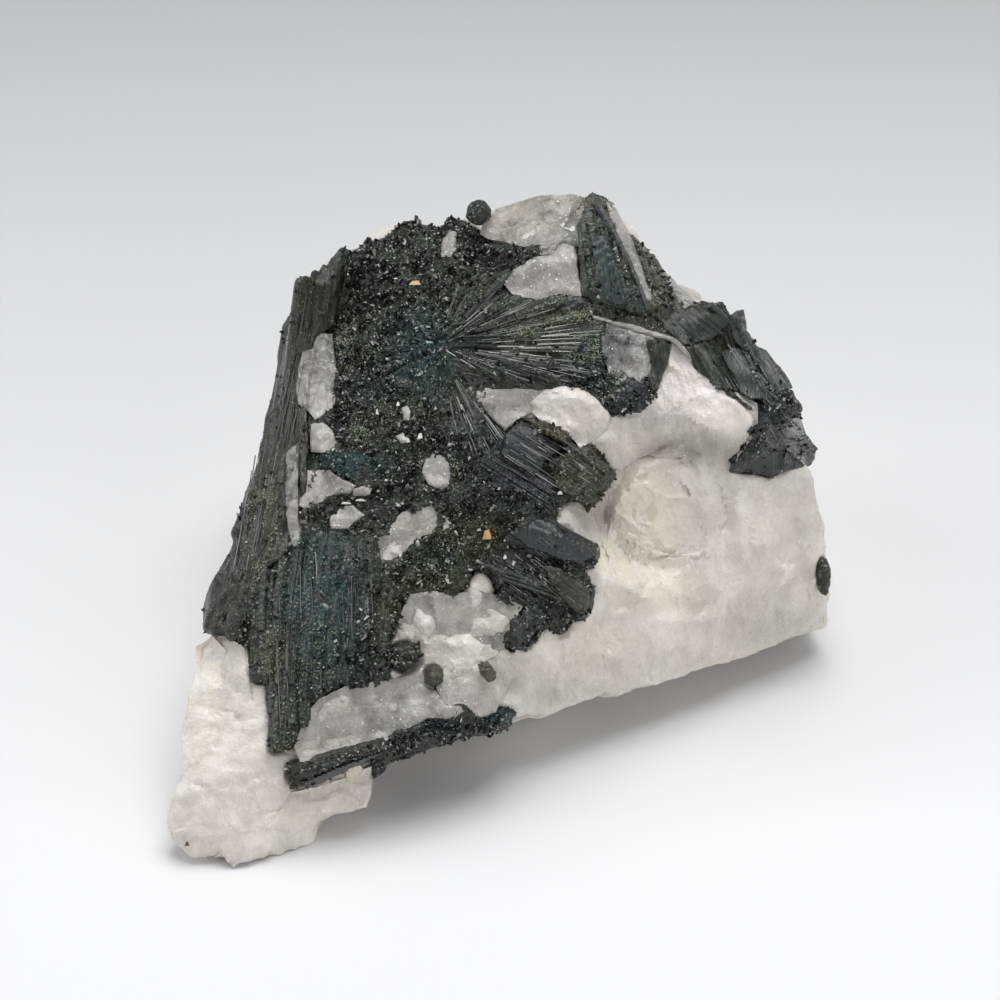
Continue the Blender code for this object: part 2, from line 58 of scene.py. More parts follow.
# The setting: the rock stands on a plain pale floor that runs up into a soft backdrop. Lamps as broad as
# windows light it from above, from the left and from the front, and the camera looks down on it at a bit
# under forty degrees.
MM = 0.001
SHEET_UNIT = 0.15 * MM
SHEET_HALF = 500
SHEET_MIDDLE = Vector((-1.8, -1.6, 30.0)) * MM
SIGHT_ELEVATION = math.radians(38)
SIGHT_DISTANCE = 360 * MM
SHEET_RIGHT = Vector((1, 0, 0))
SHEET_UP = Vector((0, math.sin(SIGHT_ELEVATION), math.cos(SIGHT_ELEVATION)))
SIGHT_WAY = Vector((0, -math.cos(SIGHT_ELEVATION), math.sin(SIGHT_ELEVATION)))
SIGHT_POINT = SHEET_MIDDLE + SIGHT_DISTANCE * SIGHT_WAY
SIGHT_AHEAD = (SHEET_MIDDLE - SIGHT_POINT).normalized()
FILM_WIDTH = 36


class Reading:
    """A number that a finish works out from place to place. Sums on it add their own nodes."""

    def __init__(self, finish, socket):
        self.finish = finish
        self.socket = socket

    def sum_of(self, operation, *values):
        return self.finish.number("ShaderNodeMath", {"operation": operation}, dict(enumerate(values)))

    def __add__(self, other):
        return self.sum_of("ADD", self, other)

    def __mul__(self, other):
        return self.sum_of("MULTIPLY", self, other)

    def held(self):
        """The number kept between 0 and 1."""
        return self.finish.number("ShaderNodeClamp", {}, {"Value": self})

    def between(self, low, high):
        """0 below low, 1 above high, and even in between."""
        spread = {"From Min": low, "From Max": high}
        return self.finish.number("ShaderNodeMapRange", {"clamp": True}, {"Value": self, **spread})

    __radd__ = __add__
    __rmul__ = __mul__


class Finish:
    """A material built node by node."""

    def __init__(self, name):
        self.material = bpy.data.materials.new(name)
        self.material.use_nodes = True
        self.nodes = self.material.node_tree.nodes
        self.shader = self.nodes["Principled BSDF"]

    def node(self, kind, settings, values):
        made = self.nodes.new(kind)
        for key, value in settings.items():
            setattr(made, key, value)
        for key, value in values.items():
            self.feed(made.inputs[key], value)
        return made

    def feed(self, socket, value):
        if isinstance(value, Reading):
            value = value.socket
        if isinstance(value, bpy.types.NodeSocket):
            self.material.node_tree.links.new(value, socket)
        else:
            socket.default_value = value

    def number(self, kind, settings, values, output=0):
        return Reading(self, self.node(kind, settings, values).outputs[output])

    def place(self, scale):
        """Object coordinates, stretched: scale is a number or three numbers."""
        stretch = scale if isinstance(scale, tuple) else (scale,) * 3
        source = self.node("ShaderNodeTexCoord", {}, {}).outputs["Object"]
        return self.node("ShaderNodeMapping", {}, {"Vector": source, "Scale": stretch}).outputs[0]

    def along_grain(self, scale):
        """The piece's own UV map, stretched: across the striations first, then along them."""
        source = self.node("ShaderNodeUVMap", {"uv_map": "grain"}, {}).outputs[0]
        return self.node("ShaderNodeMapping", {}, {"Vector": source, "Scale": scale}).outputs[0]

    def cloud(self, vector, detail=3.0, roughness=0.5, distortion=0.0):
        values = {"Vector": vector, "Scale": 1.0, "Detail": detail, "Roughness": roughness,
                  "Distortion": distortion}
        return self.number("ShaderNodeTexNoise", {}, values)

    def cells(self, vector, feature="F1", output="Distance"):
        made = self.node("ShaderNodeTexVoronoi", {"feature": feature}, {"Vector": vector, "Scale": 1.0})
        return Reading(self, made.outputs[output])

    def mark(self, name):
        """A number that the mesh itself carries."""
        return self.number("ShaderNodeAttribute", {"attribute_name": name}, {}, "Fac")

    def blend(self, share, first, second):
        made = self.node("ShaderNodeMix", {"data_type": "RGBA"}, {})
        self.feed(made.inputs[0], share)
        for index, colour in ((6, first), (7, second)):
            self.feed(made.inputs[index], colour)
        return made.outputs[2]

    def relief(self, height, distance, strength=1.0, below=None):
        values = {"Height": height, "Distance": distance, "Strength": strength}
        if below is not None:
            values["Normal"] = below
        return self.node("ShaderNodeBump", {}, values).outputs[0]

    def set(self, **values):
        for key, value in values.items():
            self.feed(self.shader.inputs[key.replace("_", " ")], value)


def deselect():
    bpy.ops.object.select_all(action="DESELECT")


def take(piece):
    """Selects one piece only and makes it the active one."""
    deselect()
    piece.select_set(True)
    bpy.context.view_layer.objects.active = piece


FLOOR_HALF = 1.6
BACKDROP_START = 0.42
BACKDROP_RADIUS = 0.5
FLOOR_COLOUR = (0.815, 0.815, 0.82, 1)
BACKDROP_PAINTED_SHADE = (0.434, 0.437, 0.440, 1)

deselect()
bpy.ops.mesh.primitive_grid_add(x_subdivisions=2, y_subdivisions=64, size=2 * FLOOR_HALF,
                                location=(0, 0, 0))
floor = bpy.context.object
floor.name = "floor"
for vertex in floor.data.vertices:
    past = vertex.co.y - BACKDROP_START
    if past > 0:
        turn = min(past / BACKDROP_RADIUS, math.pi / 2)
        vertex.co.y = BACKDROP_START + BACKDROP_RADIUS * math.sin(turn)
        vertex.co.z = BACKDROP_RADIUS * (1 - math.cos(turn)) + max(past - BACKDROP_RADIUS * math.pi / 2, 0)
bpy.ops.object.shade_smooth()
# The paper darkens from the floor colour up into the backdrop colour: painted shade where less light reaches
# the back.
paper = Finish("pale_paper")
depth = paper.number("ShaderNodeSeparateXYZ", {}, {"Vector": paper.place(1.0)}, "Y")
paper.set(Base_Color=paper.blend(depth.between(-0.04, 0.24), FLOOR_COLOUR, BACKDROP_PAINTED_SHADE), Roughness=0.9)
paper.set(Specular_IOR_Level=0.1)
floor.data.materials.append(paper.material)
floor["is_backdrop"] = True


def lamp(name, place, aim, size, power, colour=(1, 1, 1)):
    made = bpy.data.lights.new(name, "AREA")
    made.shape = "RECTANGLE"
    made.size, made.size_y = size
    made.energy = power
    made.color = colour
    holder = bpy.data.objects.new(name, made)
    bpy.context.scene.collection.objects.link(holder)
    holder.location = place
    holder.rotation_euler = (Vector(aim) - Vector(place)).to_track_quat("-Z", "Y").to_euler()


lamp("window_above", (0.10, 0.16, 0.85), (0, 0, 0.02), (0.6, 0.5), 5.7)
lamp("window_left", (-0.8, 0.1, 0.5), (0, 0, 0.02), (0.4, 0.4), 1.3, (1.0, 0.99, 0.96))
lamp("window_front", (0.45, -0.85, 0.35), (0, 0, 0.02), (0.5, 0.4), 0.9, (1.0, 0.985, 0.96))

# The room is bright all round but for the ceiling over the camera, so that dark glassy faces mirror
# something dark and keep their depth.
ROOM_COLOUR = (0.70, 0.71, 0.73, 1)
CEILING_COLOUR = (0.10, 0.10, 0.105, 1)
DARK_WAY = Vector((0, -0.5, 0.866))
CEILING_EDGE = (0.62, 0.92)

world = bpy.data.worlds.new("room")
bpy.context.scene.world = world
world.use_nodes = True
room = world.node_tree
way = room.nodes.new("ShaderNodeTexCoord")
toward = room.nodes.new("ShaderNodeVectorMath")
toward.operation = "DOT_PRODUCT"
toward.inputs[1].default_value = DARK_WAY
room.links.new(way.outputs["Generated"], toward.inputs[0])
edge = room.nodes.new("ShaderNodeMapRange")
edge.inputs["From Min"].default_value = CEILING_EDGE[0]
edge.inputs["From Max"].default_value = CEILING_EDGE[1]
room.links.new(toward.outputs["Value"], edge.inputs["Value"])
wall = room.nodes.new("ShaderNodeMix")
wall.data_type = "RGBA"
wall.inputs[6].default_value = ROOM_COLOUR
wall.inputs[7].default_value = CEILING_COLOUR
room.links.new(edge.outputs[0], wall.inputs[0])
room.links.new(wall.outputs[2], room.nodes["Background"].inputs["Color"])

eye = bpy.data.objects.new("camera", bpy.data.cameras.new("camera"))
bpy.context.scene.collection.objects.link(eye)
eye.location = SIGHT_POINT
eye.rotation_euler = SIGHT_AHEAD.to_track_quat("-Z", "Y").to_euler()
eye.data.sensor_width = FILM_WIDTH
eye.data.lens = FILM_WIDTH * SIGHT_DISTANCE / (2 * SHEET_HALF * SHEET_UNIT)
eye.data.clip_start = 0.01
bpy.context.scene.camera = eye
bpy.context.scene.view_settings.view_transform = "Standard"

# The quartz: one broken mass of milky quartz that the crystals grew in. It is white and faintly warm,
# greyer where it is clear enough to show the dark crystals behind it, and stained cream in
# the hollow under the ledge. In the hollow left of the ridge its grey is partly painted shade.
QUARTZ_VOXEL = 0.62 * MM
QUARTZ_PATCHES = {
    "cream": (
        (640, 520, 42, 60, 1.0), (615, 560, 26, 40, 0.9), (655, 590, 60, 26, 0.6), (580, 640, 70, 40, 0.45),
        (700, 610, 90, 50, 0.25), (205, 720, 26, 60, 0.25), (290, 800, 90, 50, 0.2),
        (352, 775, 14, 12, 0.9), (640, 460, 60, 20, 0.35), (560, 220, 40, 14, 0.25),
        (760, 560, 60, 70, 0.2),
    ),
    "grey": (
        (316, 380, 24, 50, 0.85), (324, 440, 18, 16, 0.7), (300, 500, 20, 60, 0.7), (335, 476, 30, 14, 0.7),
        (346, 520, 22, 14, 0.7), (438, 472, 18, 20, 0.75), (410, 530, 46, 34, 0.6),
        (497, 405, 34, 22, 0.55), (545, 275, 44, 32, 0.55), (450, 240, 14, 16, 0.5),
        (628, 366, 28, 30, 0.8), (455, 625, 62, 44, 0.45), (340, 720, 60, 34, 0.4),
        (500, 680, 40, 30, 0.35), (700, 448, 50, 16, 0.55), (520, 225, 44, 14, 0.45),
        # The spot at (600, 520) lies in the hollow left of the ridge: its grey is partly painted shade.
        (685, 292, 16, 18, 0.6), (600, 520, 26, 20, 0.45), (560, 690, 70, 24, 0.25),
        (230, 680, 24, 40, 0.2), (650, 410, 50, 26, 0.35), (800, 500, 26, 60, 0.15),
        (760, 620, 60, 26, 0.3),
    ),
    "rose": ((700, 400, 60, 22, 0.8), (742, 408, 24, 14, 1.0), (300, 720, 30, 60, 0.3),
             (570, 410, 30, 14, 0.3)),
}
QUARTZ_FACETS = ((5.2, 0.55), (2.1, 0.22))
QUARTZ_GRAIN = ((1.1, 0.10), (0.5, 0.05))


def on_sheet(points):
    """Where points of the rock fall on the drawing sheet that the camera sees."""
    rays = np.asarray(points, float) - np.array(SIGHT_POINT)
    reach = SIGHT_DISTANCE / (rays @ np.array(SIGHT_AHEAD)) / SHEET_UNIT
    across = SHEET_HALF + (rays @ np.array(SHEET_RIGHT)) * reach
    return across, SHEET_HALF - (rays @ np.array(SHEET_UP)) * reach


def patches(points, spots):
    """How strongly each point lies in any of some soft oval spots of the sheet."""
    across, down = on_sheet(points)
    strength = np.zeros(len(across))
    for middle_across, middle_down, half_across, half_down, most in spots:
        far = np.hypot((across - middle_across) / half_across, (down - middle_down) / half_down)
        strength = np.maximum(strength, most * np.clip(1.35 - far, 0, 1))
    return strength


def carry(piece, name, values):
    """Gives each vertex of a piece a number that its finish reads."""
    layer = piece.data.attributes.new(name, "FLOAT", "POINT")
    layer.data.foreach_set("value", np.asarray(values, np.float32))


def points_of(piece):
    flat = np.empty(3 * len(piece.data.vertices))
    piece.data.vertices.foreach_get("co", flat)
    return flat.reshape(-1, 3)


def normals_of(piece):
    flat = np.empty(3 * len(piece.data.vertices))
    piece.data.vertex_normals.foreach_get("vector", flat)
    return flat.reshape(-1, 3)


def triangles_of(piece):
    """The corner numbers of each triangle of a piece."""
    piece.data.calc_loop_triangles()
    corners = np.empty(3 * len(piece.data.loop_triangles), np.int32)
    piece.data.loop_triangles.foreach_get("vertices", corners)
    return corners.reshape(-1, 3)


def move_points(piece, points):
    piece.data.vertices.foreach_set("co", np.asarray(points, float).ravel())
    piece.data.update()


def fine_copy(name, node, voxel):
    """A copy of a CAD solid, merged and made again of even small faces."""
    source = bpy.data.objects[node]
    piece = bpy.data.objects.new(name, source.data.copy())
    bpy.context.scene.collection.objects.link(piece)
    piece.data.materials.clear()
    take(piece)
    shape = bmesh.new()
    shape.from_mesh(piece.data)
    bmesh.ops.remove_doubles(shape, verts=shape.verts[:], dist=1e-6)
    shape.to_mesh(piece.data)
    shape.free()
    step = piece.modifiers.new("even", "REMESH")
    step.mode = "VOXEL"
    step.voxel_size = voxel
    bpy.ops.object.modifier_apply(modifier="even")
    return piece


def facet_height(point, size):
    """The height of broken facets: each cell of the stone is a small plane tilted its own way."""
    place = point / size
    cell = noise.voronoi(place)[1][0]
    tilt = noise.cell_vector(cell * 5.7) - Vector((0.5, 0.5, 0.5))
    return 2 * (place - cell).dot(tilt)


def quartz_height(point):
    height = sum(rise * facet_height(point, size * MM) for size, rise in QUARTZ_FACETS)
    return height + sum(rise * noise.noise(point / (size * MM)) for size, rise in QUARTZ_GRAIN)


quartz = fine_copy("quartz", "quartz_matrix", QUARTZ_VOXEL)
places = points_of(quartz)
lift = np.array([quartz_height(Vector(place)) for place in places])
lift = np.where(places[:, 2] < 1.2 * MM, -np.abs(lift), lift)
places += normals_of(quartz) * (lift * MM)[:, None]
places[:, 2] = np.maximum(places[:, 2], 0)
move_points(quartz, places)
take(quartz)
worn = quartz.modifiers.new("worn", "SMOOTH")
worn.factor = 0.45
worn.iterations = 2
bpy.ops.object.modifier_apply(modifier="worn")
places = points_of(quartz)
for name, spots in QUARTZ_PATCHES.items():
    carry(quartz, name, patches(places, spots))

# The hollow: under the ledge the quartz breaks back a little, with a scalloped cream ridge between the
# hollow and the slab. It is the same stone, broken off in a shell-like flake, so it is pressed into the
# quartz piece.
RIDGE_LINE = ((690, 440), (640, 470), (615, 510), (605, 545), (620, 580), (672, 590))
HOLLOW_MIDDLE = (664, 508)
HOLLOW_INNER, HOLLOW_OUTER = 60, 92
HOLLOW_DROP = 1.3
HOLLOW_DEEPEST = 14 * MM
HOLLOW_FADE = (110, 60)
RING_LEFT, RING_FOOT = 590, 560
RIDGE_SLOPE, RIDGE_WIDTH, RIDGE_RISE = 9, 7, 0.5


def line_distance(across, down, line):
    """How far points of the sheet lie from a broken line, negative on its right-hand side as it runs."""
    best, side = np.full(len(across), 1e9), np.ones(len(across))
    for (ax, ay), (bx, by) in zip(line, line[1:]):
        along_x, along_y = bx - ax, by - ay
        share = np.clip(((across - ax) * along_x + (down - ay) * along_y) / (along_x ** 2 + along_y ** 2),
                        0, 1)
        far = np.hypot(across - ax - share * along_x, down - ay - share * along_y)
        turn = np.sign(along_x * (down - ay) - along_y * (across - ax))
        nearer = far < best
        best, side = np.where(nearer, far, best), np.where(nearer, turn, side)
    return best * side


across, down = on_sheet(places)
rays = places - np.array(SIGHT_POINT)
depth = np.linalg.norm(rays, axis=1)
far = np.hypot(across - HOLLOW_MIDDLE[0], down - HOLLOW_MIDDLE[1])
facing = normals_of(quartz)
front = (facing * -rays).sum(1) > 0
ring = front & (far > HOLLOW_INNER) & (far < HOLLOW_OUTER) & (down < RING_FOOT) & (across > RING_LEFT)
side, fall = (across - HOLLOW_MIDDLE[0]) / 100, (down - HOLLOW_MIDDLE[1]) / 100
terms = np.stack([np.ones(len(side)), side, fall], 1)
skin = terms @ np.linalg.lstsq(terms[ring], depth[ring], rcond=None)[0]
ridge = line_distance(across, down, RIDGE_LINE)
behind = np.clip(ridge / RIDGE_SLOPE, 0, 1)
fade = np.clip((HOLLOW_FADE[0] - far) / HOLLOW_FADE[1], 0, 1)
skin = skin + (HOLLOW_DROP * behind * fade - RIDGE_RISE * np.exp(-(ridge / RIDGE_WIDTH) ** 2)) * MM
blend = np.clip((HOLLOW_OUTER - far) / (HOLLOW_OUTER - HOLLOW_INNER), 0, 1)
sunk = (np.abs(depth - skin) < HOLLOW_DEEPEST) & (far < HOLLOW_OUTER)
rough = np.array([quartz_height(Vector(place)) if low else 0 for place, low in zip(places, sunk)])
depth = np.where(sunk, depth + (skin - rough * MM - depth) * blend, depth)
places = np.array(SIGHT_POINT) + rays / np.linalg.norm(rays, axis=1)[:, None] * depth[:, None]
move_points(quartz, places)

milk = Finish("milky_quartz")
cloudy = milk.cloud(milk.place(160), 4, 0.6)
sugar = milk.cloud(milk.place(1500), 3, 0.6)
chips = milk.cells(milk.place((420, 420, 420)))
streaks = milk.cloud(milk.place((420, 420, 75)), 5, 0.65)
frost = milk.cloud(milk.place((150, 150, 60)), 5, 0.7, 0.6)
veins = milk.cloud(milk.place((90, 90, 260)), 5, 0.65, 0.6)
inner = milk.cloud(milk.place((380, 380, 120)), 6, 0.7, 1.2)
grain_cells = milk.cells(milk.place(5200), "F1", "Color").socket
sparks = milk.number("ShaderNodeSeparateXYZ", {}, {"Vector": grain_cells}, "X")
stone = milk.blend((cloudy + veins * 0.6).between(0.55, 1.05), (0.62, 0.585, 0.535, 1),
                   (0.86, 0.83, 0.78, 1))
stone = milk.blend((streaks.between(0.44, 0.60) * 0.55).held(), stone, (0.62, 0.575, 0.525, 1))
stone = milk.blend((frost.between(0.56, 0.70) * 0.7).held(), stone, (0.94, 0.925, 0.90, 1))
cream = (milk.mark("cream") * (veins.between(0.3, 0.62) * 0.7 + 0.5)).held()
stone = milk.blend(cream, stone, (0.76, 0.69, 0.56, 1))
stone = milk.blend((milk.mark("rose") * 0.5).held(), stone, (0.84, 0.76, 0.76, 1))
clear = milk.blend(inner.between(0.38, 0.60), (0.035, 0.038, 0.038, 1), (0.25, 0.25, 0.245, 1))
grey = (milk.mark("grey") * (cloudy.between(0.35, 0.65) * 0.5 + 0.7)).held()
stone = milk.blend(grey, stone, clear)
# Painted glints: tiny near-white specks laid into the quartz colour, along with its sugary white mottling.
glints = sparks.between(0.984, 0.99) * cloudy.between(0.4, 0.6)
stone = milk.blend((sugar.between(0.6, 0.75) * 0.3 + glints).held(), stone, (0.95, 0.94, 0.93, 1))
milk.set(Base_Color=stone, Roughness=sugar.between(0.3, 0.8) * 0.3 + 0.2)
milk.set(Subsurface_Weight=0.25, Subsurface_Radius=(1.0, 0.85, 0.7), Subsurface_Scale=1.6 * MM, IOR=1.54)
rough = milk.relief(chips * 0.6 + cloudy + streaks * 0.6 + frost * 0.7, 0.6 * MM, 0.9)
milk.set(Normal=milk.relief(sugar, 0.14 * MM, 0.8, rough))
quartz.data.materials.append(milk.material)
take(quartz)
bpy.ops.object.shade_smooth_by_angle(angle=math.radians(24))
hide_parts("quartz_matrix")
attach(quartz, "root")

# The tourmaline bed: where the crystals grew so close that they make one dark mass, sunk in the quartz. Its
# skin is ribbed along the crystals and grainy where their broken ends show.
BED_VOXEL = 0.42 * MM
BED_SWELL = 0.34
FAN_RADIUS = 95
MAIN_ZONES = (
    (None, None, (1, 0), 0.0, 0.34, 1.0),
    ([(260, 260), (350, 240), (346, 300), (318, 340), (299, 380), (296, 440), (286, 492), (250, 600),
      (236, 640), (170, 650), (180, 560), (230, 400)], None, (-0.268, 1), 0.24, 0.04, 0.12),
    ([(246, 590), (262, 556), (300, 548), (330, 520), (372, 531), (384, 570), (380, 620), (350, 650),
      (350, 690), (300, 760), (270, 760), (246, 690)], None, (-0.04, 1), 0.34, 0.12, 0.4),
    ([(444, 340), (466, 290), (520, 262), (540, 296), (600, 296), (606, 330), (575, 345), (566, 392),
      (500, 394)],
     (438, 346), None, 0.26, 0.08, 0.25),
    ([(444, 350), (500, 384), (480, 400), (520, 436), (548, 474), (500, 474), (440, 420), (420, 380)],
     (438, 346), None, 0.24, 0.10, 0.35),
    ([(484, 456), (505, 428), (531, 420), (570, 432), (616, 474), (594, 506), (552, 520), (528, 490)],
     None, (75, 45), 0.30, 0.08, 0.3),
    ([(500, 540), (530, 514), (556, 516), (600, 545), (600, 560), (560, 562)], None, (77, 20), 0.12, 0.02,
     0.0),
    ([(478, 564), (510, 548), (590, 590), (590, 610), (566, 612), (540, 600)], None, (88, 40), 0.16, 0.16,
     0.6),
)
MAIN_TINTS = {
    "teal": (
        (320, 595, 40, 60, 0.9), (420, 355, 32, 40, 0.9), (345, 465, 40, 14, 0.9), (595, 352, 24, 18, 0.5),
        (440, 560, 30, 14, 0.4), (372, 388, 14, 14, 0.4), (330, 660, 26, 30, 0.3),
    ),
    "olive": (
        (262, 530, 26, 40, 0.9), (585, 480, 30, 28, 0.8), (545, 435, 26, 16, 0.8), (303, 465, 8, 40, 1.0),
        (272, 660, 16, 34, 0.7), (470, 545, 50, 30, 0.5), (430, 580, 34, 22, 0.7), (300, 360, 14, 90, 0.6),
        (320, 300, 30, 40, 0.5), (283, 450, 16, 40, 0.6), (560, 320, 40, 14, 0.5), (390, 610, 14, 30, 0.6),
        (540, 342, 40, 14, 0.4), (578, 590, 20, 16, 0.5),
    ),
    "ink": (
        # The ink at (352, 388) and (340, 420) lies on two cavities: there it is painted shade in the pits as
        # well as blue-black crystal.
        (525, 478, 46, 30, 1.0), (550, 545, 50, 18, 1.0), (352, 388, 22, 18, 0.7), (634, 392, 24, 22, 0.8),
        (480, 440, 40, 30, 0.5), (515, 560, 34, 18, 0.8), (340, 420, 14, 16, 1.0), (400, 240, 50, 20, 0.3),
    ),
}
CAVITIES = (
    (340, 419, 12, 13, 1.4), (348, 386, 16, 9, 1.1), (402, 478, 14, 7, 0.8), (468, 514, 12, 9, 0.9),
    (376, 497, 8, 8, 1.1), (346, 660, 12, 8, 0.8), (270, 690, 14, 5, 0.7), (498, 522, 9, 7, 1.0),
    (450, 513, 8, 7, 0.9), (318, 302, 6, 14, 0.8), (395, 330, 11, 7, 0.8), (430, 300, 9, 7, 0.8),
    (345, 300, 7, 12, 0.9), (368, 455, 12, 5, 0.8), (384, 360, 12, 6, 0.8), (400, 300, 7, 9, 0.7),
    (440, 440, 8, 8, 0.8), (410, 395, 10, 5, 0.7), (468, 560, 9, 8, 0.8), (430, 580, 8, 5, 0.8),
)


def inside(across, down, outline):
    """Which points of the sheet lie inside an outline."""
    found = np.zeros(len(across), bool)
    for (here, low), (there, high) in zip(outline, outline[1:] + outline[:1]):
        if low != high:
            crossing = here + (down - low) * (there - here) / (high - low)
            found ^= ((low > down) != (high > down)) & (across < crossing)
    return found


def grain_of(points, zones):
    """For each point: how far across and along the crystals it lies, in mm, and its zone's heights and
    graininess."""
    across, down = on_sheet(points)
    result = np.zeros((len(across), 5))
    scale = SHEET_UNIT / MM
    for outline, centre, direction, ridges, grains, druse in zones:
        chosen = np.ones(len(across), bool) if outline is None else inside(across, down, outline)
        if centre is None:
            length = math.hypot(*direction)
            ahead = (direction[0] / length, direction[1] / length)
            side = (across * ahead[1] - down * ahead[0]) * scale
            along = (across * ahead[0] + down * ahead[1]) * scale
        else:
            side = np.arctan2(down - centre[1], across - centre[0]) * FAN_RADIUS * scale
            along = np.hypot(down - centre[1], across - centre[0]) * scale
        rows = np.stack([side, along, np.full(len(side), ridges), np.full(len(side), grains),
                         np.full(len(side), druse)], 1)
        result[chosen] = rows[chosen]
    return result


def rib_height(side, along):
    """The height of the crystals' long ribs: broad ones, and finer ones on them."""
    broad = noise.noise(Vector((side / 0.95, along / 15, 3.1)))
    return broad + 0.5 * noise.noise(Vector((side / 0.42, along / 9, 8.4)))


def grain_height(point):
    """The height of the grainy broken ends: small tilted facets."""
    shifted = point + Vector((0.013, 0.007, 0.003))
    return facet_height(point, 1.25 * MM) + 0.6 * facet_height(shifted, 0.7 * MM)


def carry_grain(piece, grain):
    """Writes how far across and along the crystals each corner lies into the piece's own UV map."""
    corners = np.empty(len(piece.data.loops), np.int32)
    piece.data.loops.foreach_get("vertex_index", corners)
    layer = piece.data.uv_layers.new(name="grain")
    layer.data.foreach_set("uv", grain[corners, :2].astype(np.float32).ravel())


def bed_piece(name, node, zones, tints, voxel=BED_VOXEL, cavities=()):
    """The skin of one crystal mass, made from its CAD solid."""
    piece = fine_copy(name, node, voxel)
    places = points_of(piece)
    grain = grain_of(places, zones)
    lift = np.array([
        BED_SWELL + ridges * rib_height(side, along) + grains * grain_height(Vector(place))
        for place, (side, along, ridges, grains, _) in zip(places, grain)
    ])
    lift = np.maximum(lift, 0.02)
    facing = normals_of(piece)
    if cavities:
        lift -= patches(places, cavities) * (facing[:, 2] > 0.2)
    places += facing * (lift * MM)[:, None]
    move_points(piece, places)
    for tint, spots in tints.items():
        carry(piece, tint, patches(places, spots))
    carry(piece, "druse", grain[:, 4])
    carry_grain(piece, grain)
    return piece


def tourmaline_finish(name, speck_share=0.05, polish=0.17, striped=1.0):
    """Glassy near-black green crystal: striated along its length, with paler specks where it is broken,
    partly grains of quartz dust and partly painted glints."""
    glass = Finish(name)
    fine = glass.place(2600)
    cloudy = glass.cloud(glass.place(420), 3, 0.6)
    grains = glass.cells(glass.place((1700, 1700, 1700)))
    picked = glass.cells(glass.place((3300, 3300, 3300)), "F1", "Color").socket
    lottery = glass.number("ShaderNodeSeparateXYZ", {}, {"Vector": picked}, "X")
    lines = glass.cloud(glass.along_grain((5.5, 0.10, 1)), 3, 0.7)
    hairs = glass.cloud(glass.along_grain((16, 0.30, 1)), 2, 0.6)
    streaks = glass.cloud(glass.along_grain((2.2, 0.06, 1)), 3, 0.6)
    druse = glass.mark("druse")
    body = glass.blend((streaks * 0.7 + cloudy * 0.3).between(0.42, 0.66), (0.002, 0.003, 0.002, 1),
                       (0.040, 0.050, 0.036, 1))
    body = glass.blend((glass.mark("teal") * cloudy.between(0.3, 0.6)).held(), body,
                       (0.010, 0.062, 0.062, 1))
    body = glass.blend((glass.mark("olive") * cloudy.between(0.25, 0.7)).held(), body,
                       (0.066, 0.060, 0.014, 1))
    body = glass.blend((glass.mark("ink") * 0.8).held(), body, (0.006, 0.006, 0.016, 1))
    # The tone mark makes a crystal paler; on the spray's listed bright ribs that paleness is a painted
    # highlight.
    body = glass.blend(glass.mark("tone"), body, (0.085, 0.090, 0.086, 1))
    # The pale specks are partly grains of quartz dust and partly painted glints.
    dust_and_glint_speck = (lottery.between(1 - speck_share, 1 - speck_share * 0.6) * (druse * 0.8 + 0.2)).held()
    body = glass.blend(dust_and_glint_speck, body, (0.34, 0.35, 0.29, 1))
    glass.set(Base_Color=body, IOR=1.63)
    glass.set(Roughness=hairs.between(0.3, 0.8) * 0.16 + polish + cloudy.between(0.45, 0.8) * 0.14)
    ribs = glass.relief(lines * striped, 0.30 * MM, 1.0)
    ribs = glass.relief(hairs * striped, 0.07 * MM, 0.8, ribs)
    glass.set(Normal=glass.relief((grains + glass.cloud(fine, 2) * 0.4) * druse, 0.42 * MM, 1.0, ribs))
    return glass.material


def dress(piece, material, node=None):
    """Gives a crystal piece its finish and ties it to the rock."""
    piece.data.materials.append(material)
    if node:
        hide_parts(node)
    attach(piece, "root")


bed_finish = tourmaline_finish("tourmaline_bed")
growth = bed_piece("main_growth_bed", "main_tourmaline_growth", MAIN_ZONES, MAIN_TINTS, cavities=CAVITIES)
dress(growth, bed_finish, "main_tourmaline_growth")

# The left columns: long straight tourmaline columns, side by side down the left flank, split off almost
# flush. Each is a ridged prism with broken ends, and they show a soft grey sheen along their length.
FACE_NORMAL = Vector((0, -0.655, 0.756))


def surface_tree(names):
    """The CAD solids that crystals stand on, for finding the surface behind a point of the sheet."""
    shape = bmesh.new()
    for name in names:
        shape.from_mesh(bpy.data.objects[name].data)
    tree = BVHTree.FromBMesh(shape)
    shape.free()
    return tree


TREE = surface_tree(list(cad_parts))


def on_rock(across, down):
    """The point of the rock behind a point of the sheet, and the way the rock faces there."""
    target = (SHEET_MIDDLE + SHEET_RIGHT * (across - SHEET_HALF) * SHEET_UNIT
              + SHEET_UP * (SHEET_HALF - down) * SHEET_UNIT)
    ray = (target - SIGHT_POINT).normalized()
    place, normal, _, _ = TREE.ray_cast(SIGHT_POINT, ray)
    if place is None:
        ahead = SIGHT_POINT + ray * (SIGHT_DISTANCE - (target - SHEET_MIDDLE).dot(FACE_NORMAL))
        nearest, normal, _, _ = TREE.find_nearest(ahead)
        place = SIGHT_POINT + ray * (nearest - SIGHT_POINT).dot(ray)
    return place, normal


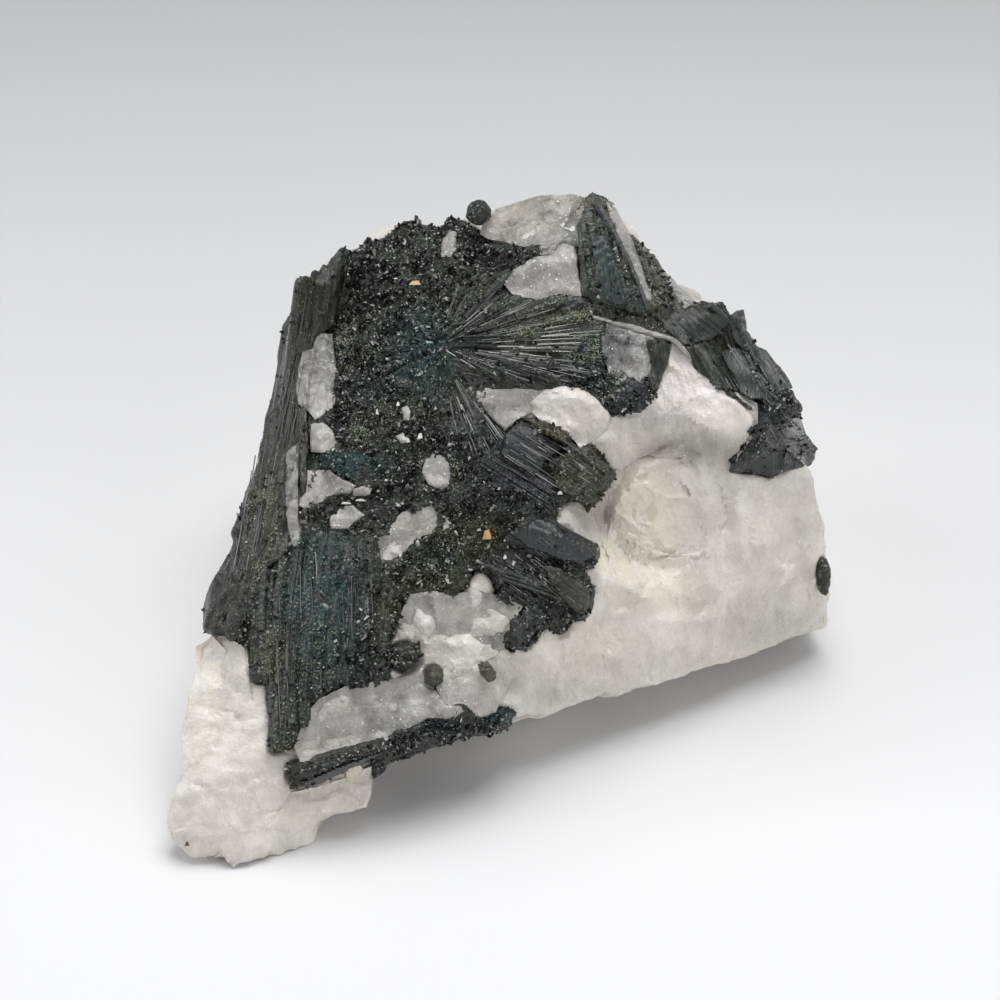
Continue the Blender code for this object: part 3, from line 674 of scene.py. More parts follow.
def prism_model(name, sides, rings, flutes, seed, end_slope=0.25, taper=0.0):
    """One ridged crystal, one unit wide, deep and long: a cylinder, cut across, fluted and broken off at
    its ends."""
    deselect()
    bpy.ops.mesh.primitive_cylinder_add(vertices=sides, radius=0.5, depth=1, end_fill_type="TRIFAN",
                                        location=(0, 0, 0.5))
    model = bpy.context.object
    model.name = name
    bpy.ops.object.transform_apply(location=True, rotation=False, scale=False)
    bpy.ops.object.mode_set(mode="EDIT")
    bpy.ops.mesh.select_all(action="SELECT")
    for ring in range(1, rings):
        bpy.ops.mesh.select_all(action="SELECT")
        bpy.ops.mesh.bisect(plane_co=(0, 0, ring / rings), plane_no=(0, 0, 1))
    bpy.ops.object.mode_set(mode="OBJECT")
    dice = random.Random(seed)
    groove = [1 - flutes * dice.random() for _ in range(sides)]
    slopes = [(dice.uniform(-1, 1) * end_slope, dice.uniform(-1, 1) * end_slope) for _ in range(2)]
    for vertex in model.data.vertices:
        turn = math.atan2(vertex.co.y, vertex.co.x) % math.tau
        radius = math.hypot(vertex.co.x, vertex.co.y)
        side = round(turn / math.tau * sides) % sides
        if radius > 0.1:
            wander = 1 + 0.05 * dice.uniform(-1, 1)
            shrink = groove[side] * wander * (1 - taper * vertex.co.z)
            vertex.co.x *= shrink
            vertex.co.y *= shrink
        for level, (tilt_x, tilt_y) in zip((0, 1), slopes):
            if abs(vertex.co.z - level) < 1e-4:
                slope = vertex.co.x * tilt_x + vertex.co.y * tilt_y
                vertex.co.z += slope * 0.06 + dice.uniform(-1, 1) * 0.004
    corners = points_of(model).copy()
    faces = [tuple(face.vertices) for face in model.data.polygons]
    bpy.data.objects.remove(model)
    return corners, faces


MODELS = [prism_model(f"prism_{seed}", 9 + seed % 3, 4, 0.22, seed) for seed in range(5)]
SLIM_MODELS = [prism_model(f"slim_{seed}", 6, 3, 0.3, 20 + seed, taper=0.25) for seed in range(4)]


def mesh_piece(name, corners, faces):
    """A new piece from its corners and faces."""
    mesh = bpy.data.meshes.new(name)
    mesh.from_pydata(corners.tolist(), [], faces)
    piece = bpy.data.objects.new(name, mesh)
    bpy.context.scene.collection.objects.link(piece)
    return piece


def crystals(name, rows, models, seed):
    """Many crystals made one mesh. A row: start and end on the sheet, width, depth and how far it stands
    out in mm, and how pale it is."""
    dice = random.Random(seed)
    corners, faces, grain, tones = [], [], [], []
    count = 0
    for start, end, width, depth, rise, tone in rows:
        model, model_faces = models[dice.randrange(len(models))]
        first, first_normal = on_rock(*start)
        last, last_normal = on_rock(*end)
        _, middle_normal = on_rock((start[0] + end[0]) / 2, (start[1] + end[1]) / 2)
        upright = (last - first).normalized()
        outward = (first_normal + last_normal + middle_normal + FACE_NORMAL * 1.5).normalized()
        sideways = upright.cross(outward).normalized()
        outward = sideways.cross(upright).normalized()
        lift = (rise - depth / 2) * MM
        turn = dice.uniform(-0.5, 0.5)
        shape = model.copy()
        swing = np.array([[math.cos(turn), math.sin(turn)], [-math.sin(turn), math.cos(turn)]])
        shape[:, :2] = shape[:, :2] @ swing
        basis = np.array([sideways * width * MM, outward * depth * MM, last - first])
        placed = shape @ basis + np.array(first + outward * lift)
        corners.append(placed)
        faces.extend(tuple(index + count for index in face) for face in model_faces)
        around = np.arctan2(model[:, 1], model[:, 0]) / math.tau * 3 * width
        length = (last - first).length / MM
        shift = dice.uniform(0, 400)
        grain.append(np.stack([around + shift, model[:, 2] * length + shift], 1))
        tones.append(np.full(len(model), tone))
        count += len(model)
    piece = mesh_piece(name, np.concatenate(corners), faces)
    carry_grain(piece, np.concatenate(grain))
    carry(piece, "tone", np.concatenate(tones))
    return piece


def tinted(piece, tints, druse=0.0):
    """Gives a joined piece the tints of the zones that it stands in."""
    places = points_of(piece)
    for tint, spots in tints.items():
        carry(piece, tint, patches(places, spots))
    carry(piece, "druse", np.full(len(places), druse))
    return piece


def between(first, second, share):
    return tuple(a + (b - a) * share for a, b in zip(first, second))


COLUMN_STATIONS = (
    ((298, 292), (350, 258)), ((272, 390), (300, 374)), ((245, 500), (286, 490)), ((209, 618), (244, 606)),
)
COLUMN_TOTAL = 64
GOLDEN = 0.618


def column_place(share, way):
    """A point of the left bundle: share across it from the left, and way down it from 0 to 3."""
    step = min(int(way), len(COLUMN_STATIONS) - 2)
    upper = between(*COLUMN_STATIONS[step], share)
    lower = between(*COLUMN_STATIONS[step + 1], share)
    return between(upper, lower, way - step)


dice = random.Random(11)
rows = []
for number in range(COLUMN_TOTAL):
    share = ((number * GOLDEN) % 1) * 0.94 + 0.03
    top = dice.uniform(-0.02, 2.2)
    bottom = min(top + dice.uniform(0.5, 1.3), 2.98 - 0.1 * share)
    width = dice.uniform(0.8, 2.1)
    rows.append((column_place(share, top), column_place(share, bottom), width, width * 1.4,
                 dice.uniform(0.25, 0.75), dice.choice((0, 0, 0.15, 0.35, 0.6))))
prism_finish = tourmaline_finish("tourmaline_prisms", 0.02, 0.14)
columns = tinted(crystals("left_columns", rows, MODELS, 12), MAIN_TINTS, 0.1)
dress(columns, prism_finish)

# The lower-left blocks: stout columns that stand upright at the lower left, ending in steps over the
# quartz. They are teal where light gets into them.
BLOCK_TOPS = [(247, 586), (262, 566), (280, 556), (300, 550), (318, 542), (334, 530), (352, 526),
              (372, 532), (384, 568), (392, 590)]
BLOCK_FEET = [(250, 644), (262, 668), (272, 720), (284, 748), (299, 724), (312, 700), (330, 688),
              (352, 684), (372, 684), (384, 668)]
BLOCK_TOTAL = 58


def along_points(points, share):
    """The point at a share of the way along a run of points."""
    way = share * (len(points) - 1)
    step = min(int(way), len(points) - 2)
    return between(points[step], points[step + 1], way - step)


dice = random.Random(21)
rows = []
for number in range(BLOCK_TOTAL):
    share = (number * GOLDEN) % 1
    top = along_points(BLOCK_TOPS, share)
    foot = along_points(BLOCK_FEET, share)
    start = dice.choice((0.0, 0.02, dice.uniform(0.1, 0.55)))
    end = dice.choice((1.0, 0.98, dice.uniform(0.5, 0.9)))
    if end - start > 0.25:
        width = dice.uniform(0.7, 1.9)
        rows.append((between(top, foot, start), between(top, foot, end), width, width * 1.4,
                     dice.uniform(0.2, 0.9), dice.choice((0, 0, 0.1, 0.3, 0.5))))
blocks = tinted(crystals("lower_left_blocks", rows, MODELS, 22), MAIN_TINTS, 0.35)
dress(blocks, prism_finish)

# The spray: needles that fan out from one point in the middle of the face, mostly to the right, lying in
# the broken surface so that each shows as a thin lit rib with a dark line beside it.
SPRAY_CENTRE = (438, 346)
NEEDLE_TOTAL = 120
FAN_FROM, FAN_SPREAD = -64, 132
SPRAY_RIM = (
    (-62, 70), (-50, 92), (-44, 112), (-30, 76), (-22, 130), (-12, 150), (-4, 120), (3, 116), (10, 124),
    (17, 128), (26, 74), (36, 74), (46, 112), (52, 140), (58, 130), (66, 104), (74, 92), (90, 78),
    (110, 66), (140, 60), (190, 44), (230, 40), (260, 52), (298, 70),
)
# Needles listed where the spray shows bright lit ribs: their paleness is a painted highlight.
SPRAY_PAINTED_HIGHLIGHTS = (
    ((463, 308), (496, 293), 0.35, 1.0), ((458, 316), (498, 298), 0.35, 1.0),
    ((463, 296), (512, 270), 0.8, 0.35), ((472, 294), (500, 276), 0.5, 0.6),
    ((452, 326), (566, 304), 0.9, 0.15), ((460, 330), (588, 313), 0.8, 0.1),
    ((461, 337), (512, 336), 0.35, 0.7), ((463, 340), (560, 342), 0.7, 0.2),
    ((461, 345), (556, 352), 0.7, 0.2), ((455, 360), (559, 381), 1.1, 0.8),
    ((458, 366), (540, 383), 0.8, 0.6), ((466, 374), (520, 386), 0.6, 0.4),
    ((461, 352), (562, 374), 0.5, 0.0), ((470, 386), (500, 391), 0.5, 0.5),
    ((473, 442), (487, 455), 0.35, 1.0), ((455, 380), (492, 420), 0.9, 0.4),
    ((462, 392), (508, 438), 1.0, 0.3), ((446, 380), (486, 440), 0.9, 0.35),
    ((424, 380), (444, 402), 0.9, 0.3), ((440, 396), (470, 452), 0.8, 0.25),
    ((470, 404), (520, 450), 1.0, 0.2), ((428, 402), (452, 446), 0.8, 0.2),
    ((446, 330), (478, 326), 0.5, 0.3), ((440, 362), (460, 366), 0.6, 0.9),
)

dice = random.Random(31)
rows = [(start, end, width, width * 1.3, 0.75, tone) for start, end, width, tone in SPRAY_PAINTED_HIGHLIGHTS]
angles, lengths = zip(*SPRAY_RIM)
for number in range(NEEDLE_TOTAL):
    angle = FAN_FROM + FAN_SPREAD * ((number * GOLDEN) % 1) if number % 5 else dice.uniform(66, 296)
    longest = np.interp(angle, angles, lengths)
    near = dice.uniform(0.08, 0.5) * longest
    far = longest * dice.uniform(0.75, 1.0)
    turned = math.radians(angle + dice.uniform(-3, 3))
    ahead = (math.cos(turned), math.sin(turned))
    width = dice.uniform(0.3, 0.85)
    rows.append(((SPRAY_CENTRE[0] + ahead[0] * near, SPRAY_CENTRE[1] + ahead[1] * near),
                 (SPRAY_CENTRE[0] + ahead[0] * far, SPRAY_CENTRE[1] + ahead[1] * far),
                 width, width * 1.4, dice.uniform(0.3, 0.8), dice.choice((0, 0, 0.15, 0.3, 0.6))))
needles = tinted(crystals("spray_needles", rows, SLIM_MODELS + MODELS[:2], 32), MAIN_TINTS, 0.1)
dress(needles, prism_finish)

# The middle prisms: thick crystals that stick out over the pale hollow, striated blue-black and olive, with
# smooth pointed slate laths below them and a fan of grainy lobes at the bottom.
MIDDLE_BUNDLES = (
    ((486, 458), (552, 500), 4.0, 9, 0.9, 0.10), ((507, 438), (552, 462), 3.8, 7, 1.0, 0.05),
    ((518, 426), (560, 444), 3.2, 6, 1.1, 0.05), ((536, 424), (568, 440), 2.8, 5, 1.4, 0.05),
    ((548, 456), (592, 484), 3.6, 7, 1.1, 0.05), ((566, 450), (606, 476), 3.4, 7, 1.3, 0.05),
    ((556, 470), (592, 498), 2.6, 4, 0.8, 0.05), ((528, 490), (552, 514), 2.4, 4, 0.7, 0.2),
    ((510, 536), (580, 556), 3.2, 4, 0.9, 0.25), ((520, 526), (586, 548), 2.6, 3, 1.1, 0.30),
    ((536, 520), (590, 548), 1.8, 2, 0.9, 0.25), ((490, 562), (540, 588), 3.0, 5, 0.8, 0.1),
    ((500, 574), (586, 604), 2.6, 5, 0.9, 0.2), ((544, 566), (588, 592), 2.4, 3, 0.9, 0.35),
    ((506, 590), (560, 622), 3.0, 5, 0.8, 0.05), ((538, 608), (516, 642), 3.2, 7, 0.9, 0.15),
    ((552, 608), (566, 626), 2.6, 4, 0.7, 0.1),
)


def bundle_rows(bundles, seed):
    """Splits each thick crystal into the slimmer ones that it has grown together from."""
    dice = random.Random(seed)
    rows = []
    for start, end, width, count, rise, tone in bundles:
        length = math.hypot(end[0] - start[0], end[1] - start[1])
        side = (-(end[1] - start[1]) / length, (end[0] - start[0]) / length)
        for number in range(count):
            offset = ((number + 0.5) / count - 0.5) * width * MM / SHEET_UNIT
            shift = (side[0] * offset, side[1] * offset)
            early, late = dice.uniform(-0.04, 0.05), dice.uniform(0.93, 1.02)
            first, last = between(start, end, early), between(start, end, late)
            slim = width / count * dice.uniform(1.3, 2.0)
            edge = abs((number + 0.5) / count - 0.5) * 2
            rows.append(((first[0] + shift[0], first[1] + shift[1]),
                         (last[0] + shift[0], last[1] + shift[1]),
                         slim, slim * 1.5, rise - 0.5 * edge ** 2 + dice.uniform(-0.12, 0.12),
                         max(0, tone + dice.choice((-0.1, 0, 0, 0.25)))))
    return rows


middle = tinted(crystals("middle_prisms", bundle_rows(MIDDLE_BUNDLES, 41), MODELS, 42), MAIN_TINTS, 0.25)
dress(middle, prism_finish)

# The apex columns: a short bundle of upright columns beside the top of the rock, mossy at the top, with a
# pale strip of quartz between the two halves.
APEX_ZONES = ((None, (585, 60), None, 0.26, 0.08, 0.3),)
APEX_TINTS = {
    "teal": ((612, 266, 16, 40, 0.6), (628, 300, 14, 14, 0.5)),
    "olive": ((590, 224, 26, 24, 1.0), (648, 270, 14, 30, 0.8), (664, 296, 18, 20, 0.5),
              (604, 300, 30, 10, 0.4)),
    "ink": ((640, 296, 10, 20, 0.4),),
}
APEX_BUNDLES = (
    ((586, 222), (588, 292), 1.6, 3, 0.7, 0.15), ((594, 214), (600, 298), 2.0, 4, 0.9, 0.05),
    ((604, 216), (616, 304), 2.2, 5, 1.0, 0.25), ((614, 232), (630, 308), 2.0, 4, 0.9, 0.3),
    ((634, 250), (646, 306), 2.2, 4, 0.8, 0.05), ((646, 252), (660, 308), 2.2, 4, 0.9, 0.10),
    ((656, 262), (674, 300), 2.0, 4, 0.7, 0.05),
)
apex = bed_piece("apex_bed", "apex_columns", APEX_ZONES, APEX_TINTS, 0.36 * MM)
dress(apex, bed_finish, "apex_columns")
apex_rods = tinted(crystals("apex_rods", bundle_rows(APEX_BUNDLES, 51), MODELS, 52), APEX_TINTS, 0.3)
dress(apex_rods, prism_finish)

# The right shoulder: the thickest prisms of the rock, broken to smooth dark facets that overlap like steps,
# with a sparkling broken patch between them and a flat face underneath.
FLANK_ZONES = ((None, None, (0.56, 1), 0.22, 0.10, 0.35),)
FLANK_TINTS = {
    "teal": ((700, 360, 30, 24, 0.3), (770, 392, 24, 24, 0.4)),
    "olive": ((704, 350, 26, 22, 0.7), (690, 320, 24, 12, 0.4)),
    "ink": ((770, 432, 34, 24, 1.0), (770, 462, 44, 16, 1.0), (716, 316, 20, 14, 0.5)),
}
FLANK_BUNDLES = (
    ((672, 328), (700, 366), 2.8, 4, 0.8, 0.05), ((686, 322), (722, 378), 3.4, 4, 1.0, 0.05),
    ((700, 340), (738, 388), 3.2, 3, 1.1, 0.0), ((724, 350), (752, 396), 3.6, 1, 1.5, 0.6),
    ((704, 310), (728, 334), 3.2, 5, 1.0, 0.15), ((720, 316), (742, 346), 2.6, 3, 1.0, 0.2),
    ((746, 344), (772, 376), 3.0, 3, 1.0, 0.3), ((758, 352), (790, 398), 2.6, 3, 0.9, 0.35),
    ((766, 366), (798, 410), 2.4, 3, 0.7, 0.25), ((764, 412), (802, 452), 4.2, 4, 0.9, 0.25),
    ((756, 424), (780, 450), 3.0, 3, 0.9, 0.1), ((780, 420), (806, 456), 2.6, 3, 0.6, 0.3),
)
flank = bed_piece("right_shoulder_bed", "right_flank_crystals", FLANK_ZONES, FLANK_TINTS, 0.42 * MM)
dress(flank, bed_finish, "right_flank_crystals")
flank_rods = tinted(crystals("right_shoulder_prisms", bundle_rows(FLANK_BUNDLES, 61), MODELS, 62),
                    FLANK_TINTS, 0.1)
dress(flank_rods, prism_finish)

# The band at the bottom: a druse of small dark crystals that peeps out under the quartz, and one straight
# lath that lies across the foot.
BAND_ZONES = ((None, None, (95, -28), 0.06, 0.30, 0.9),
              ([(280, 740), (384, 736), (384, 756), (300, 800)], None, (95, -28), 0.2, 0.05, 0.3))
BAND_TINTS = {
    "teal": ((498, 712, 16, 10, 0.9), (440, 722, 20, 10, 0.3)),
    "olive": ((330, 776, 50, 14, 0.7), (300, 776, 20, 14, 0.5)),
    "ink": ((430, 730, 40, 20, 0.4),),
}
band = bed_piece("bottom_band", "bottom_crystal_band", BAND_ZONES, BAND_TINTS, 0.36 * MM)
dress(band, bed_finish, "bottom_crystal_band")

# The single crystals: small blunt tourmaline crystals that grew alone in the quartz, seen end on. Each is a
# stubby faceted knob made from its CAD solid, drawn in a little so that the quartz closes round it.
SINGLES = ("small_crystal_left", "small_crystal_middle", "small_crystal_right", "top_bead_crystal",
           "edge_crystal")
SINGLE_ZONES = ((None, None, (0.3, 1), 0.05, 0.14, 0.6),)
SINGLE_TINTS = {"olive": ((434, 676, 12, 12, 0.9), (487, 672, 10, 10, 0.8))}
SMALL_SHARE, LARGE_SHARE = 0.72, 0.86
for node in SINGLES:
    knob = bed_piece(f"{node}_knob", node, SINGLE_ZONES, SINGLE_TINTS, 0.3 * MM)
    share = SMALL_SHARE if node.startswith("small") else LARGE_SHARE
    spots = points_of(knob)
    move_points(knob, spots.mean(0) + (spots - spots.mean(0)) * share)
    dress(knob, bed_finish, node)

# The outline of the broken rock: its flanks stand a little in or out of the CAD solids' simpler line, so
# every piece is eased sideways there, by less than three millimetres.
EASES = (
    (258, 430, 90, 190, 16, 0), (380, 245, 62, 45, 0, -13), (672, 262, 54, 54, -13, 8),
    (776, 360, 64, 84, -17, 9), (832, 570, 30, 80, -4, 0), (440, 768, 96, 44, 0, -16),
    (318, 838, 92, 40, 0, -18), (228, 545, 40, 60, 8, 0), (166, 770, 34, 60, 7, 0),
    (204, 866, 44, 26, 0, 7), (812, 425, 34, 40, -8, 0), (386, 790, 30, 26, -4, -14),
    (372, 228, 26, 20, 4, 7),
)


def eased(points):
    """Points moved across the line of sight by the soft ovals of EASES."""
    across, down = on_sheet(points)
    reach = np.linalg.norm(points - np.array(SIGHT_POINT), axis=1) / SIGHT_DISTANCE * SHEET_UNIT
    moved = points.copy()
    for middle_across, middle_down, half_across, half_down, right, lower in EASES:
        far = ((across - middle_across) / half_across) ** 2 + ((down - middle_down) / half_down) ** 2
        share = (np.clip(1 - far, 0, 1) ** 2 * reach)[:, None]
        moved += share * (np.array(SHEET_RIGHT) * right - np.array(SHEET_UP) * lower)
    moved[:, 2] = np.where(points[:, 2] < 0.5 * MM, points[:, 2], moved[:, 2])
    return moved


rock_pieces = [piece for piece in bpy.data.objects if piece.type == "MESH"
               and piece.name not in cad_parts
               and (piece.data.attributes.get("grey") or piece.data.attributes.get("druse"))]
for piece in rock_pieces:
    move_points(piece, eased(points_of(piece)))

# The broken faces: where quartz comes through the dark crystals as clear grey windows and white lumps, and
# where crystals lie flush in the face, each a flat flake with its own outline, a little proud of what is
# round it.
SKIN_STEP = 2
SKIN_FROM, SKIN_TO = (150, 186), (846, 884)
SKIN_BACK = 1.6 * MM
SKIN_BRIDGE = 5
STREAK_SEEDS = (12.9898, 43758.5453)


def visible_tree(pieces):
    """The skins of the visible pieces, for finding what shows at a point of the sheet."""
    points, faces, count = [], [], 0
    for piece in pieces:
        points.append(points_of(piece))
        faces.append(triangles_of(piece) + count)
        count += len(piece.data.vertices)
    return BVHTree.FromPolygons(np.concatenate(points).tolist(), np.concatenate(faces).tolist(),
                                all_triangles=True)


def front_map(tree):
    """How far the rock lies behind each point of a fine grid of the sheet, with small hollows bridged."""
    acrosses = np.arange(SKIN_FROM[0], SKIN_TO[0], SKIN_STEP)
    downs = np.arange(SKIN_FROM[1], SKIN_TO[1], SKIN_STEP)
    depths = np.full((len(acrosses), len(downs)), np.nan)
    rays = np.empty((len(acrosses), len(downs), 3))
    for column, across in enumerate(acrosses.tolist()):
        for row, down in enumerate(downs.tolist()):
            target = (SHEET_MIDDLE + SHEET_RIGHT * ((across - SHEET_HALF) * SHEET_UNIT)
                      + SHEET_UP * ((SHEET_HALF - down) * SHEET_UNIT))
            ray = (target - SIGHT_POINT).normalized()
            rays[column, row] = ray
            far = tree.ray_cast(SIGHT_POINT, ray)[3]
            if far:
                depths[column, row] = far
    raw = depths.copy()
    for reach, pick in ((SKIN_BRIDGE, np.fmin), (SKIN_BRIDGE, np.fmax), (2, None), (2, None)):
        for axis in (0, 1):
            shifted = [np.roll(depths, shift, axis) for shift in range(-reach, reach + 1)]
            if pick:
                depths = pick.reduce(shifted)
            else:
                known = np.isfinite(shifted)
                count = known.sum(0)
                depths = np.where(known, shifted, 0).sum(0) / np.where(count > 0, count, np.nan)
    return acrosses, downs, np.fmin(depths, raw), rays


SHEET_ACROSS, SHEET_DOWN, FRONT, RAYS = front_map(visible_tree(rock_pieces))


def outline_distance(across, down, outline):
    """How far grid points lie inside an outline of the sheet, negative outside it, and the step to its
    nearest point."""
    far, right, lower = np.full(len(across), 1e9), np.zeros(len(across)), np.zeros(len(across))
    for (ax, ay), (bx, by) in zip(outline, outline[1:] + outline[:1]):
        along_x, along_y = bx - ax, by - ay
        share = np.clip(((across - ax) * along_x + (down - ay) * along_y) / (along_x ** 2 + along_y ** 2),
                        0, 1)
        step_x, step_y = ax + share * along_x - across, ay + share * along_y - down
        reach = np.hypot(step_x, step_y)
        nearer = reach < far
        far = np.where(nearer, reach, far)
        right, lower = np.where(nearer, step_x, right), np.where(nearer, step_y, lower)
    return np.where(inside(across, down, outline), far, -far), right, lower


def jagged(outline, seed):
    """An outline with small breaks added along its sides, as a splintered edge has."""
    dice = np.random.default_rng(seed)
    broken = []
    for (ax, ay), (bx, by) in zip(outline, outline[1:] + outline[:1]):
        length = math.hypot(bx - ax, by - ay)
        parts = max(1, int(length / 6))
        for part in range(parts):
            shake = dice.uniform(-0.9, 0.9) if part else 0
            broken.append((ax + (bx - ax) * part / parts + shake * (by - ay) / length,
                           ay + (by - ay) * part / parts - shake * (bx - ax) / length))
    return tuple(broken)


def skins(name, rows):
    """Flakes made one mesh. Each row gives an outline and a dict: how proud it stands in mm, how steep its
    rim is, its broken planes (number, tilt in mm), its streaks (way, width, depth in mm) and the values
    that its finish reads."""
    points, faces, marks, grain = [], [], [], []
    count = 0
    across_grid, down_grid = np.meshgrid(SHEET_ACROSS, SHEET_DOWN, indexing="ij")
    for number, (outline, look) in enumerate(rows):
        dice = np.random.default_rng(400 + number)
        ends = np.array(outline)
        box = ((across_grid > ends[:, 0].min() - 5) & (across_grid < ends[:, 0].max() + 5)
               & (down_grid > ends[:, 1].min() - 5) & (down_grid < ends[:, 1].max() + 5))
        columns, lines = np.nonzero(box)
        across, down = across_grid[columns, lines], down_grid[columns, lines]
        rim, right, lower = outline_distance(across, down, jagged(outline, number))
        keep = (rim > -SKIN_STEP * 1.1) & np.isfinite(FRONT[columns, lines])
        index = np.full(across_grid.shape, -1)
        index[columns[keep], lines[keep]] = np.arange(keep.sum())
        columns, lines, across, down, rim = columns[keep], lines[keep], across[keep], down[keep], rim[keep]
        outside = rim[:, None] < 0
        snap = np.stack([right[keep], lower[keep]], 1) * outside
        middle = ends.mean(0)
        size = np.ptp(ends, axis=0).max() / 2
        planes, tilt = look.get("planes", (5, 0.5))
        height = np.full(len(across), look["stand"] + 0.25)
        for _ in range(planes):
            turn, slope = dice.random() * math.tau, tilt * dice.uniform(0.3, 1.0)
            centre = middle + dice.normal(0, 0.3, 2) * size
            run = (across - centre[0]) * math.cos(turn) + (down - centre[1]) * math.sin(turn)
            height = np.minimum(height, look["stand"] + slope * run / size)
        way, width, deep = look.get("streaks", ((0, 1), 3, 0))
        reach = math.hypot(*way)
        scale = SHEET_UNIT / MM
        side = (across * way[1] - down * way[0]) / reach * scale
        along = (across * way[0] + down * way[1]) / reach * scale
        if deep:
            wander = np.array([noise.noise(Vector((far / 9, off / width / 0.9, number)))
                               for far, off in zip(along.tolist(), side.tolist())])
            step = side / (width * scale) + wander * 0.7
            share = step - np.floor(step)
            rise = np.sin(np.floor(step) * STREAK_SEEDS[0] + number) * STREAK_SEEDS[1]
            rise = rise - np.floor(rise)
            groove = np.clip(1 - np.minimum(share, 1 - share) / 0.3, 0, 1)
            height = height + deep * (rise - 0.6) - deep * 0.8 * groove
        fine = np.array([noise.noise(Vector((right / 7, lower / 7, number * 3.1)))
                         + 0.6 * noise.noise(Vector((right / 3, lower / 3, number)))
                         for right, lower in zip(across.tolist(), down.tolist())])
        height = height + look.get("grit", 0.06) * fine
        rising = np.clip((rim + 0.5) / look.get("edge", 3.0), 0, 1) ** 0.7
        height = height * rising - 0.10 * (1 - rising)
        depth = FRONT[columns, lines] - height * MM
        front = np.array(SIGHT_POINT) + RAYS[columns, lines] * depth[:, None]
        front += (snap[:, :1] * np.array(SHEET_RIGHT) - snap[:, 1:] * np.array(SHEET_UP)) * SHEET_UNIT
        back = front + RAYS[columns, lines] * (SKIN_BACK + np.maximum(height, 0)[:, None] * MM)
        front[:, 2] = np.maximum(front[:, 2], 0)
        back[:, 2] = np.maximum(back[:, 2], 0)
        corner = index[:-1, :-1], index[:-1, 1:], index[1:, 1:], index[1:, :-1]
        whole = np.logical_and.reduce([part >= 0 for part in corner])
        cells = np.stack([part[whole] for part in corner], 1)
        used = np.unique(cells)
        renumber = np.full(len(across), -1)
        renumber[used] = np.arange(len(used))
        cells = renumber[cells]
        front, back = front[used], back[used]
        edges = np.concatenate([cells[:, [0, 1]], cells[:, [1, 2]], cells[:, [2, 3]], cells[:, [3, 0]]])
        pair = np.sort(edges, 1)
        _, first, times = np.unique(pair, axis=0, return_index=True, return_counts=True)
        rimmed = edges[first[times == 1]]
        total = len(used)
        walls = np.stack([rimmed[:, 1], rimmed[:, 0], rimmed[:, 0] + total, rimmed[:, 1] + total], 1)
        faces.append(np.concatenate([cells, cells[:, ::-1] + total, walls]) + count)
        points.append(np.concatenate([front, back]))
        grain.append(np.tile(np.stack([side, along], 1)[used], (2, 1)) + number * 31)
        marks.extend([look] * (2 * total))
        count += 2 * total
    piece = mesh_piece(name, np.concatenate(points), np.concatenate(faces).tolist())
    carry_grain(piece, np.concatenate(grain))
    for mark in ("grey", "cream", "rose", "druse", "teal", "olive", "ink", "tone"):
        carry(piece, mark, [look.get(mark, 0) for look in marks])
    take(piece)
    bpy.ops.object.shade_smooth_by_angle(angle=math.radians(26))
    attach(piece, "root")
    return piece


